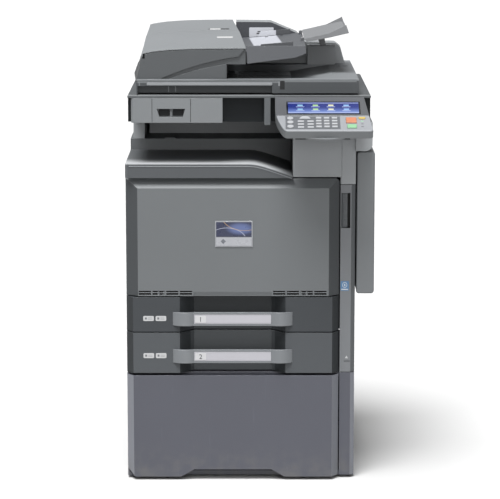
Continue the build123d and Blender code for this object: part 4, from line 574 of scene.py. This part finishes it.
# A pale half-round bead just under the bezel's top edge: its pale colour is a painted highlight along that edge.
bezel_low, bezel_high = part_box("front_bezel")
along = np.linspace(bezel_low.x + 0.010, bezel_high.x - 0.002, 60)
rim = reach("front_bezel", 2, along, along * 0 + bezel_low.y + 0.002)
bead_path = np.stack([along, along * 0 + bezel_low.y, rim - 0.0045], -1)
bead_highlight_grey = moulded("bead_highlight_grey", tone(150, 154, 158), roughness=0.4)
bead("bezel_bead", bead_path, 0.0011, bead_highlight_grey, "main_unit")
coat(moulded("plate_frame", tone(176, 179, 184), roughness=0.3, grain=0.00003), "front_badge")


def plate_paint(finish, u, v):
    """A night-blue field with two crossing arcs of light, over a pale band with a plain diamond."""
    sky = v.rise(0.40, 0.41)
    glow = (1 - ((u - 0.68) * (u - 0.68) * 4 + (v - 0.72) * (v - 0.72) * 9).rise(0.0, 0.8)) * sky
    arc = ((u - 0.3) * (u - 0.3) + (v - 0.2) * (v - 0.2)).within(0.30, 0.318, 0.01) * sky
    second = ((u - 0.8) * (u - 0.8) + (v - 1.3) * (v - 1.3)).within(0.42, 0.436, 0.01) * sky
    band = 1 - v.rise(0.36, 0.37)
    diamond = 1 - (abs(u - 0.2) * 1.45 + abs(v - 0.19)).rise(0.1, 0.12)
    return [(sky, tone(38, 46, 84)), (glow * 0.7, tone(120, 140, 200)), (arc, tone(210, 215, 235)),
            (second, tone(235, 190, 120)), (band, tone(196, 198, 204)), (diamond, tone(120, 124, 132))]


badge_low, badge_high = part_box("front_badge")
badge_size = (badge_high.x - badge_low.x - 0.006, badge_high.z - badge_low.z - 0.006)
badge_at = upright((badge_low.x + badge_high.x) / 2, badge_low.y + 0.0002, (badge_low.z + badge_high.z) / 2)
tile("badge_picture", badge_at, badge_size, 0.002, 0.0008, printed("badge_print", tone(70, 74, 90), plate_paint, 0.2),
     "front_cover", 0.0003)


def filter_felt():
    """Black open foam: cells of uneven size, matt, with grey dust caught on their walls."""
    finish = Finish("filter_felt", {"Specular IOR Level": 0.1, "Roughness": 0.95})
    cell = finish.cells(420)
    colour_now = finish.mix(cell * finish.noise(60, 3), tone(14, 15, 16), tone(58, 58, 56))
    return finish.surface(Base_Color=colour_now, Normal=finish.bumped(cell, 0.0004))


# Dark foam behind the vent slots: a dust filter, whose darkness also stands for the shade inside the vents, as
# painted shade.
felt = filter_felt()
cover_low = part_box("front_cover")[0]
for name, x in (("left", -0.224), ("right", 0.134)):
    behind = upright(x, cover_low.y + 0.0046, 0.5145)
    tile(f"vent_filter_{name}", behind, (0.150, 0.0125), 0.001, 0.0010, felt, "front_cover")

# ---- Side unit ----------------------------------------------------------------------------------
# The right side swings open on a vertical hinge. Its cover and folding bypass tray are grained plastic.

# The side cover's face is painted paler than the cover grey, which its sides keep: painted light.
coat(moulded("side_grey", tone(138, 142, 145), tone(118, 122, 126)), "right_cover")
coat(moulded("bypass_grey", tone(106, 110, 114)), "bypass_tray")
coat(zinc("hinge_plate", (0.4, 0.41, 0.42, 1)), "side_hinge", "lid_hinges")

# ---- Output space -------------------------------------------------------------------------------
# Printed sheets slide out on a dark ribbed tray under the scanner, in front of a plain back wall. The tray
# and the wall are painted paler than their own grey, and the tray's front strip and the post at its left paler still:
# painted light, where the scanner shades the space.

tray_low, tray_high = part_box("output_tray")
# Painted light: the tray's front strip and the post are paler, where the scanner shades them.
lit_tray_edge = ((tray_low.x - 0.1, tray_low.y - 0.1, tray_low.z - 0.1), (0.1, tray_low.y + 0.07, tray_high.z + 0.01),
             tone(222, 225, 228), 0.05)
lit_post = ((tray_low.x - 0.01, -0.3, 0.885), (-0.272, -0.1, 0.98), tone(210, 214, 217))
coat(moulded("tray_black", tone(110, 114, 117), roughness=0.45, parts=[lit_tray_edge, lit_post]), "output_tray")
coat(moulded("back_wall_grey", tone(184, 188, 191), roughness=0.5), "exit_back_wall")

# ---- Scanner ------------------------------------------------------------------------------------
# The flatbed is a dark tub with a paler front panel, which has a covered memory socket. A frame on top
# holds the float glass, and a lamp carriage and a mirror carriage run on rails under it.

tub_low, tub_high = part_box("scanner_base")
strip_box = ((0.036, tub_low.y - 0.01, tub_low.z - 0.01), (0.054, tub_low.y + 0.05, tub_high.z), tone(118, 122, 125))
coat(moulded("scanner_dark", tone(38, 42, 45), roughness=0.45, parts=[strip_box], gloss=0.08), "scanner_base")
coat(moulded("scanner_front_grey", tone(143, 147, 150)), "scanner_front_panel")
panel_low, panel_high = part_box("scanner_front_panel")
socket_rubber = rubber("socket_rubber", tone(26, 28, 30))
for name, x in (("left", -0.2266), ("right", -0.1896)):
    at = upright(x, panel_low.y + 0.0115, 0.9965)
    tile(f"socket_cap_{name}", at, (0.0290, 0.0170), 0.0020, 0.0040, socket_rubber, "main_unit",
         0.0010)
for name, x in (("left", panel_low.x + 0.0556), ("right", panel_high.x - 0.084)):
    at = upright(x, panel_low.y - 0.0001, (panel_low.z + panel_high.z) / 2)
    tile(f"panel_seam_{name}", at, (0.0012, panel_high.z - panel_low.z - 0.003), 0.0003, 0.0003, socket_rubber,
         "main_unit", 0.0001)
coat(moulded("platen_grey", tone(96, 100, 103)), "platen_frame")
coat(moulded("carriage_black", tone(34, 35, 37)), "scan_carriage", "mirror_carriage")


def float_glass():
    """Clear glass with a green body tint and faint wiped smears that dull its polish."""
    finish = Finish("float_glass", {"Alpha": 0.32, "IOR": 1.52, "Coat Weight": 0.4, "Coat Roughness": 0.03})
    smear = finish.noise(9, 5, finish.stretched(1, 0.25, 1)).rise(0.45, 0.8)
    # The pane's edges are painted paler green: a painted highlight, besides the smears.
    colour_now = finish.mix(smear * 0.3 + finish.edge(0.001)[1] * 0.6, tone(120, 140, 134), tone(170, 196, 184))
    return finish.surface(Base_Color=colour_now, Roughness=0.04 + smear * 0.12,
                          Normal=finish.bumped(finish.noise(14, 2), 0.00002))


coat(float_glass(), "platen_glass")

# ---- Control panel ------------------------------------------------------------------------------
# A tilting housing with a dark surround for the touch screen, a rubber key mat with number keys, and
# hard keys for start, stop and power. It is drawn on the panel's own slope: v up it, w out of it.

panel_tilt = math.radians(23)
panel_lip = (0.0, cad_box[0][1], 0.970)
panel_up = (0.0, math.cos(panel_tilt), math.sin(panel_tilt))


def panel_place(x, v, w):
    """A flat place on the panel's face, centred at x and v, w above it."""
    out = np.cross((1, 0, 0), panel_up)
    return flat(np.array(panel_lip) + (x, 0, 0) + v * np.array(panel_up) + w * out, (1, 0, 0), panel_up)


def panel_plastic():
    """Satin plastic in two tones: dark round the screen, grey round the keys, with a fine groove between."""
    finish = Finish("panel_plastic", {"Specular IOR Level": 0.45})
    rounded, edge = finish.edge(0.0012)
    y, z = finish.along(1) - panel_lip[1], finish.along(2) - panel_lip[2]
    v = y * panel_up[1] + z * panel_up[2]
    w = z * panel_up[1] - y * panel_up[2]
    face = w.rise(-0.0006, -0.0003)
    dark = v.rise(0.0790, 0.0794) * face
    groove = v.within(0.0784, 0.0796, 0.0003) * face
    cloud = finish.noise(8, 4)
    keys_tone = finish.mix(cloud, tone(160, 163, 168), tone(172, 175, 180))
    screen_tone = finish.mix(cloud, tone(96, 98, 102), tone(106, 108, 112))
    under = finish.mix(cloud, tone(138, 142, 145), tone(146, 150, 153))
    colour_now = finish.mix(dark, finish.mix(face, under, keys_tone), screen_tone)
    # Paler edges: partly wear, partly a painted highlight.
    wear_and_highlight = (finish.noise(70, 4) + edge).rise(0.75, 1.35)
    colour_now = finish.mix(wear_and_highlight * 0.5, colour_now, tone(176, 180, 184))
    return finish.surface(Base_Color=finish.mix(groove * 0.7, colour_now, tone(24, 26, 28)),
                          Roughness=0.44 + cloud * 0.1 - dark * 0.2,
                          Normal=finish.bumped(finish.cells(1200) - groove * 6, 0.00005, rounded))


coat(panel_plastic(), "panel_case")
coat(moulded("neck_black", tone(40, 43, 46)), "panel_bracket")


def dark_glass():
    """Black glass under a clear coat, with faint finger marks."""
    finish = Finish("screen_glass", {"Coat Weight": 0.6, "Coat Roughness": 0.05})
    print_mark = finish.noise(60, 4).rise(0.5, 0.75)
    return finish.surface(Base_Color=finish.mix(print_mark, tone(14, 16, 22), tone(24, 27, 36)),
                          Roughness=0.12 + print_mark * 0.15, Normal=finish.bumped(finish.noise(30, 2), 0.00001))


coat(dark_glass(), "touch_screen")


def screen_paint():
    """A lit page: a deep blue field, a fine pale line above, and two rows of four small signs with captions."""
    finish = Finish("screen_page", {"Emission Strength": 0.28, "Coat Weight": 0.4, "Coat Roughness": 0.08})
    spot = finish.node("ShaderNodeTexCoord", {}, {}, "UV")
    u, v = finish.along(0, spot), finish.along(1, spot)
    page = finish.mix(v.rise(0.0, 0.6), tone(112, 136, 200), tone(26, 44, 128))
    page = finish.mix(v.within(0.90, 0.94, 0.01), page, tone(190, 202, 236))
    page = finish.mix(v.within(0.05, 0.09, 0.01), page, tone(190, 202, 236))
    cell, row = (u * 4.6 - 0.3) % 1, ((v - 0.14) * 2.8) % 1
    inside = v.within(0.15, 0.84, 0.004) * u.within(0.07, 0.93, 0.004)
    sign = cell.within(0.32, 0.66, 0.03) * row.within(0.42, 0.78, 0.04) * inside
    hue = finish.node("ShaderNodeValToRGB", {"steps": "CONSTANT", "stops": [
        (0.0, tone(150, 196, 226)), (0.28, tone(176, 214, 150)), (0.5, tone(226, 226, 190)),
        (0.72, tone(150, 190, 236))]}, {0: u})
    page = finish.mix(sign, page, hue)
    caption = cell.within(0.22, 0.76, 0.02) * row.within(0.16, 0.28, 0.02) * inside
    page = finish.mix(caption, page, tone(190, 204, 236))
    return finish.surface(Base_Color=page, Emission_Color=page, Roughness=0.2 + finish.noise(60, 4) * 0.1,
                          Normal=finish.bumped(finish.noise(30, 2), 0.00001))


screen_low, screen_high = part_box("touch_screen")
screen_middle = (screen_low.x + screen_high.x) / 2
screen_v = 0.121
tile("screen_picture", panel_place(screen_middle, screen_v, 0.0001), (0.184, 0.058), 0.001, 0.00025, screen_paint(),
     "control_panel", 0.00005)


def key_rubber():
    """Silicone mat: a grey sheet, with paler keys that stand out of it and darken slightly at their feet."""
    finish = Finish("key_rubber", {"Specular IOR Level": 0.3})
    rounded, edge = finish.edge(0.0006)
    y, z = finish.along(1) - panel_lip[1], finish.along(2) - panel_lip[2]
    w = z * panel_up[1] - y * panel_up[2]
    proud = w.rise(0.0002, 0.0010)
    colour_now = finish.mix(proud, tone(96, 99, 105), tone(196, 198, 202))
    colour_now = finish.mix(finish.noise(120, 4) * 0.25, colour_now, tone(150, 152, 156))
    # Paler edges: a painted highlight.
    return finish.surface(Base_Color=finish.mix(edge * 0.25, colour_now, tone(222, 223, 226)),
                          Roughness=0.6 - edge * 0.1 + finish.noise(80, 3) * 0.1,
                          Normal=finish.bumped(finish.noise(900, 2), 0.00004, rounded))


coat(key_rubber(), "keypad_mat")


def lit_key(name, colour, glow):
    """A clear-moulded key over a lamp: its middle is paler than its rim, and its top is finely frosted."""
    finish = Finish(name, {"Emission Strength": glow, "Specular IOR Level": 0.5})
    rounded, edge = finish.edge(0.0012)
    cloud = finish.noise(160, 4)
    colour_now = finish.mix(cloud * 0.4, colour, shade(colour, 1.3))
    colour_now = finish.mix(edge * 0.35, colour_now, shade(colour, 0.7))
    return finish.surface(Base_Color=colour_now, Emission_Color=colour_now, Roughness=0.34 + cloud * 0.15,
                          Normal=finish.bumped(finish.noise(1500, 2), 0.00003, rounded))


coat(lit_key("start_green", tone(150, 206, 158), 0.1), "start_key")
coat(lit_key("stop_orange", tone(216, 140, 104), 0.05), "stop_key")
coat(lit_key("power_yellow", tone(216, 186, 96), 0.1), "power_key")

mat_low, mat_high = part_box("keypad_mat")
numerals = ["3", "2", "1", "6", "5", "4", "9", "8", "7", "#", "0", "*"]
for index, text in enumerate(numerals):
    column, row = index % 3, 3 - index // 3
    at = panel_place(mat_high.x - 0.014 - column * 0.0204, 0.020 + row * 0.015, 0.00215)
    height = 0.0055 if text != "*" else 0.003
    digit(f"numeral_{index}", text, height, 0.00025, at, ink_finish, "control_panel")
for column in range(2):
    for row in range(3):
        x, v = mat_low.x + 0.039 + column * 0.025, 0.018 + row * 0.015
        tile(f"key_mark_{column}_{row}", panel_place(x, v, 0.00175), (0.0085, 0.0016), 0.0004, 0.00025, ink_finish,
             "control_panel", 0.00008, 3)
start_low, start_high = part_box("start_key")
stop_low, stop_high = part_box("stop_key")
tile("start_mark", panel_place((start_low.x + start_high.x) / 2, 0.022, 0.0029), (0.0105, 0.0034), 0.0016, 0.0003,
     printed("mark_white", tone(236, 240, 236), unprinted), "start_key", 0.0001)
tile("stop_mark", panel_place((stop_low.x + stop_high.x) / 2, 0.053, 0.0029), (0.0085, 0.0085), 0.0042, 0.0003,
     ink_finish, "stop_key", 0.0001, 8)
lamp_finish = lit_key("lamp_green", tone(120, 220, 140), 1.2)
for index, (x, v) in enumerate(((0.288, 0.050), (0.288, 0.036), (0.288, 0.022))):
    tile(f"panel_lamp_{index}", panel_place(x, v, -0.0001), (0.007, 0.0022), 0.0010, 0.0006,
         lamp_finish if index == 0 else ink_finish, "control_panel", 0.0002)

# ---- Document processor -------------------------------------------------------------------------
# The lid carries a feeder for stacks of originals: a grained housing with a top cover that opens, a
# sloping table with sliding guides, a deck where originals come out, and a white pad over the glass.

lid_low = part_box("lid_base")[0]
# The lid's front: painted shade in the grip recess at its left, painted highlights along its top edge, at its left
# end and beside the seam, a near-black seam slot, and two pale lines in the recess.
lid_painted_light_and_marks = [
    ((lid_low.x + 0.002, lid_low.y + 0.001, lid_low.z - 0.01), (0.058, lid_low.y + 0.013, 1.068), tone(58, 62, 65)),
    ((-0.296, lid_low.y - 0.01, 1.0752), (0.0777, lid_low.y + 0.001, 1.0795), tone(134, 138, 141)),
    ((0.0777, lid_low.y - 0.01, 1.0580), (0.0903, lid_low.y + 0.001, 1.0830), tone(26, 28, 30)),
    ((0.0738, lid_low.y - 0.01, 1.0675), (0.0777, lid_low.y + 0.001, 1.0795), tone(160, 164, 167)),
    ((0.0903, lid_low.y - 0.01, 1.0775), (0.2790, lid_low.y + 0.001, 1.0830), tone(134, 138, 141)),
    ((-0.2160, lid_low.y + 0.001, 1.0500), (-0.2138, lid_low.y + 0.013, 1.0665), tone(130, 134, 137)),
    ((-0.1975, lid_low.y + 0.001, 1.0500), (-0.1953, lid_low.y + 0.013, 1.0665), tone(130, 134, 137)),
    ((-0.2925, lid_low.y - 0.01, 1.0680), (-0.2895, lid_low.y + 0.001, 1.0795), tone(140, 144, 147)),
]
coat(moulded("lid_grey", tone(82, 86, 89), parts=lid_painted_light_and_marks, gloss=0.25), "lid_base")
# The deck is painted much paler than the lid, as painted light from above; under the table it is painted darker, as
# painted shade, and its front edge paler, as a painted highlight.
shade_under_table = ((-0.1, -0.2, 1.0), (0.10, 0.4, 1.1), tone(84, 88, 91), 0.03)
deck_edge_highlight = ((0.0903, lid_low.y - 0.01, 1.0775), (0.2790, lid_low.y + 0.0015, 1.0900), tone(140, 144, 147))
coat(moulded("deck_grey", tone(150, 154, 157), parts=[shade_under_table, deck_edge_highlight], gloss=0.2), "eject_tray")
coat(moulded("feeder_grey", tone(90, 94, 97)), "dp_feeder")
# The feeder's top cover is painted paler than its housing: painted light from above.
coat(moulded("top_cover_grey", tone(152, 156, 159)), "dp_top_cover")
# The rear box is painted paler than the housing, as painted light against the table's shadow.
wall_face = ((-0.1, 0.25, 1.148), (0.135, 0.268, 1.3), tone(70, 73, 80))
coat(moulded("rear_box_grey", tone(166, 170, 173), parts=[wall_face]), "dp_rear_cover")


table_tone = tone(102, 105, 110)
strip_x, strip_y, strip_lean = (0.0075, 0.0855), (-0.158, 0.236), 0.048
rule_x, rule_y = (0.0095, 0.0835), (-0.1545, 0.2325)


def table_coat():
    """The document table: grey plastic with a pale printed strip, which leans to the left towards the rear and
    carries an arrow towards the feeder and a fine rule along its edge."""
    finish = Finish("table_grey", {"Specular IOR Level": 0.35})
    rounded, edge = finish.edge(0.0012)
    cloud = finish.noise(7, 4)
    pebble = finish.cells(850)
    x, y, z = (finish.along(axis) for axis in range(3))
    across = x + y * strip_lean
    inside = across.within(*strip_x, 0.0004) * y.within(*strip_y, 0.0004) * finish.facing(2).rise(0.7, 0.8)
    head = 1 - ((across - 0.012) * -1 + abs(y + 0.045) * 0.6).rise(0.006, 0.007)
    shaft = across.within(0.022, 0.034, 0.0003) * y.within(-0.048, -0.042, 0.0004)
    arrow = head * across.within(0.012, 0.022, 0.0003) + shaft
    rule = 1 - across.within(*rule_x, 0.0003) * y.within(*rule_y, 0.0004)
    ink = finish.mix(arrow * 0.6 + rule * 0.4, tone(226, 229, 238), tone(150, 152, 168))
    grey = finish.mix(cloud, shade(table_tone, 0.95), shade(table_tone, 1.05))
    # Paler edges: partly wear, partly a painted highlight.
    worn_and_highlit = finish.mix((finish.noise(70, 4) + edge).rise(0.75, 1.35) * 0.5, grey, tone(148, 152, 158))
    on_top = inside * z.rise(1.13, 1.131)
    return finish.surface(Base_Color=finish.mix(on_top, worn_and_highlit, ink), Roughness=0.5 - inside * 0.12,
                          Normal=finish.bumped(pebble, 0.0001, rounded))


coat(table_coat(), "document_table")
coat(moulded("guide_grey", tone(84, 87, 92), roughness=0.4), "width_guide_front")
guide_label = ((0.0, 0.2, 1.0), (0.072, 0.3, 1.2), tone(238, 241, 250))
coat(moulded("guide_marked", tone(84, 87, 92), roughness=0.4, parts=[guide_label]), "width_guide_rear")
# The table extension is painted paler than the table: painted light on its upward face.
coat(moulded("extension_grey", tone(150, 152, 155)), "table_extension")
coat(rubber("feed_tyre", tone(96, 98, 102)), "dp_feed_roller")


def pad_sheet():
    """White foam pad under a smooth film: slightly uneven."""
    finish = Finish("white_pad", {"Specular IOR Level": 0.35})
    soft = finish.noise(14, 4)
    pores = finish.noise(420, 3)
    colour_now = finish.mix(soft * 0.5 + pores * 0.2, tone(232, 232, 228), tone(246, 246, 244))
    return finish.surface(Base_Color=colour_now, Roughness=0.5 + soft * 0.15,
                          Normal=finish.bumped(pores + soft, 0.0002))


coat(pad_sheet(), "platen_pad")


def laid_on(node, x, y):
    """Places a thin piece on a node's upper surface, centred at x and y: its lift is measured from there."""
    return lambda u, v, lift: np.stack([x + u, y + v, reach(node, 2, x + u, y + v) + lift - 0.0001], -1)


def plain_sign(finish, u, v):
    """A dark block at each end of a pale sign, with a short grey mark on the wide one."""
    block_mask = u.within(0.58, 1.1, 0.01) + u.within(-0.1, 0.06, 0.01)
    mark = u.within(0.66, 0.90, 0.01) * v.within(0.42, 0.62, 0.03)
    return [(block_mask, tone(34, 36, 40)), (mark, tone(90, 92, 98))]


feeder_sign = printed("feeder_sign", tone(236, 236, 236), plain_sign)
tile("feeder_sign_rear", laid_on("dp_top_cover", -0.086, 0.086), (0.056, 0.020), 0.001, 0.0005, feeder_sign,
     "feeder_top_cover", 0.0002)
tile("feeder_sign_front", laid_on("dp_top_cover", -0.068, -0.055), (0.042, 0.016), 0.001, 0.0005,
     printed("feeder_sign_plain", tone(238, 238, 238), unprinted), "feeder_top_cover", 0.0002)


def plain_label(finish, u, v):
    """Two short dark marks near the label's left end."""
    lower = u.within(0.30, 0.52, 0.01) * v.within(0.30, 0.44, 0.02)
    upper = u.within(0.34, 0.48, 0.01) * v.within(0.5, 0.62, 0.02)
    return [(lower + upper, tone(50, 50, 60))]


wall_label_at = upright(0.0315, 0.2665, 1.1715)
wall_print = printed("wall_print", tone(238, 241, 250), plain_label, 0.4)
tile("wall_label", wall_label_at, (0.069, 0.027), 0.002, 0.0006, wall_print, "document_processor", 0.0002)
grip_at = upright(-0.107, lid_low.y - 0.0004, 1.0725)
grip_grey = moulded("grip_grey", tone(160, 164, 167), roughness=0.4)
tile("lid_grip_bar", grip_at, (0.330, 0.0075), 0.0030, 0.0018, grip_grey, "document_processor", 0.0008)

# ---- Studio -------------------------------------------------------------------------------------
# A pale floor, a broad soft light from above and in front, two weaker ones lower down in front, and an
# even surround. The camera stands far off, slightly above, on a long lens.

floor_finish = Finish("floor_paper", {"Specular IOR Level": 0.2, "Roughness": 0.8})
floor_grey = floor_finish.mix(floor_finish.noise(3, 2), (0.345, 0.345, 0.345, 1), (0.36, 0.36, 0.36, 1))
floor_finish.surface(Base_Color=floor_grey)
floor_mesh = bpy.data.meshes.new("floor")
floor_mesh.from_pydata([(-60, -60, 0), (60, -60, 0), (60, 60, 0), (-60, 60, 0)], [], [(0, 1, 2, 3)])
floor_mesh.materials.append(floor_finish.material)
floor = bpy.data.objects.new("floor", floor_mesh)
bpy.context.scene.collection.objects.link(floor)

for name, strength, spread, turn in (
    ("key_light", 8.5, 30, (math.radians(22), 0, math.radians(-24))),
    ("front_light", 1.1, 25, (math.radians(52), 0, math.radians(4))),
    ("low_light", 1.2, 25, (math.radians(82), 0, math.radians(6))),
):
    sun = bpy.data.lights.new(name, "SUN")
    sun.energy, sun.angle = strength, math.radians(spread)
    lamp = bpy.data.objects.new(name, sun)
    lamp.rotation_euler = turn
    bpy.context.scene.collection.objects.link(lamp)

world = bpy.data.worlds.new("studio")
world.use_nodes = True
world.node_tree.nodes["Background"].inputs["Color"].default_value = (1, 1, 1, 1)
world.node_tree.nodes["Background"].inputs["Strength"].default_value = 0.42
bpy.context.scene.world = world
bpy.context.scene.view_settings.view_transform = "Standard"

camera = bpy.data.cameras.new("camera")
camera.sensor_width, camera.lens, camera.clip_end = 36, 165.08, 200
viewer = bpy.data.objects.new("camera", camera)
viewer.location = (-0.0007, -6.2065, 1.6743)
viewer.rotation_euler = (math.pi / 2 - 0.172, 0, 0)
bpy.context.scene.collection.objects.link(viewer)
bpy.context.scene.camera = viewer
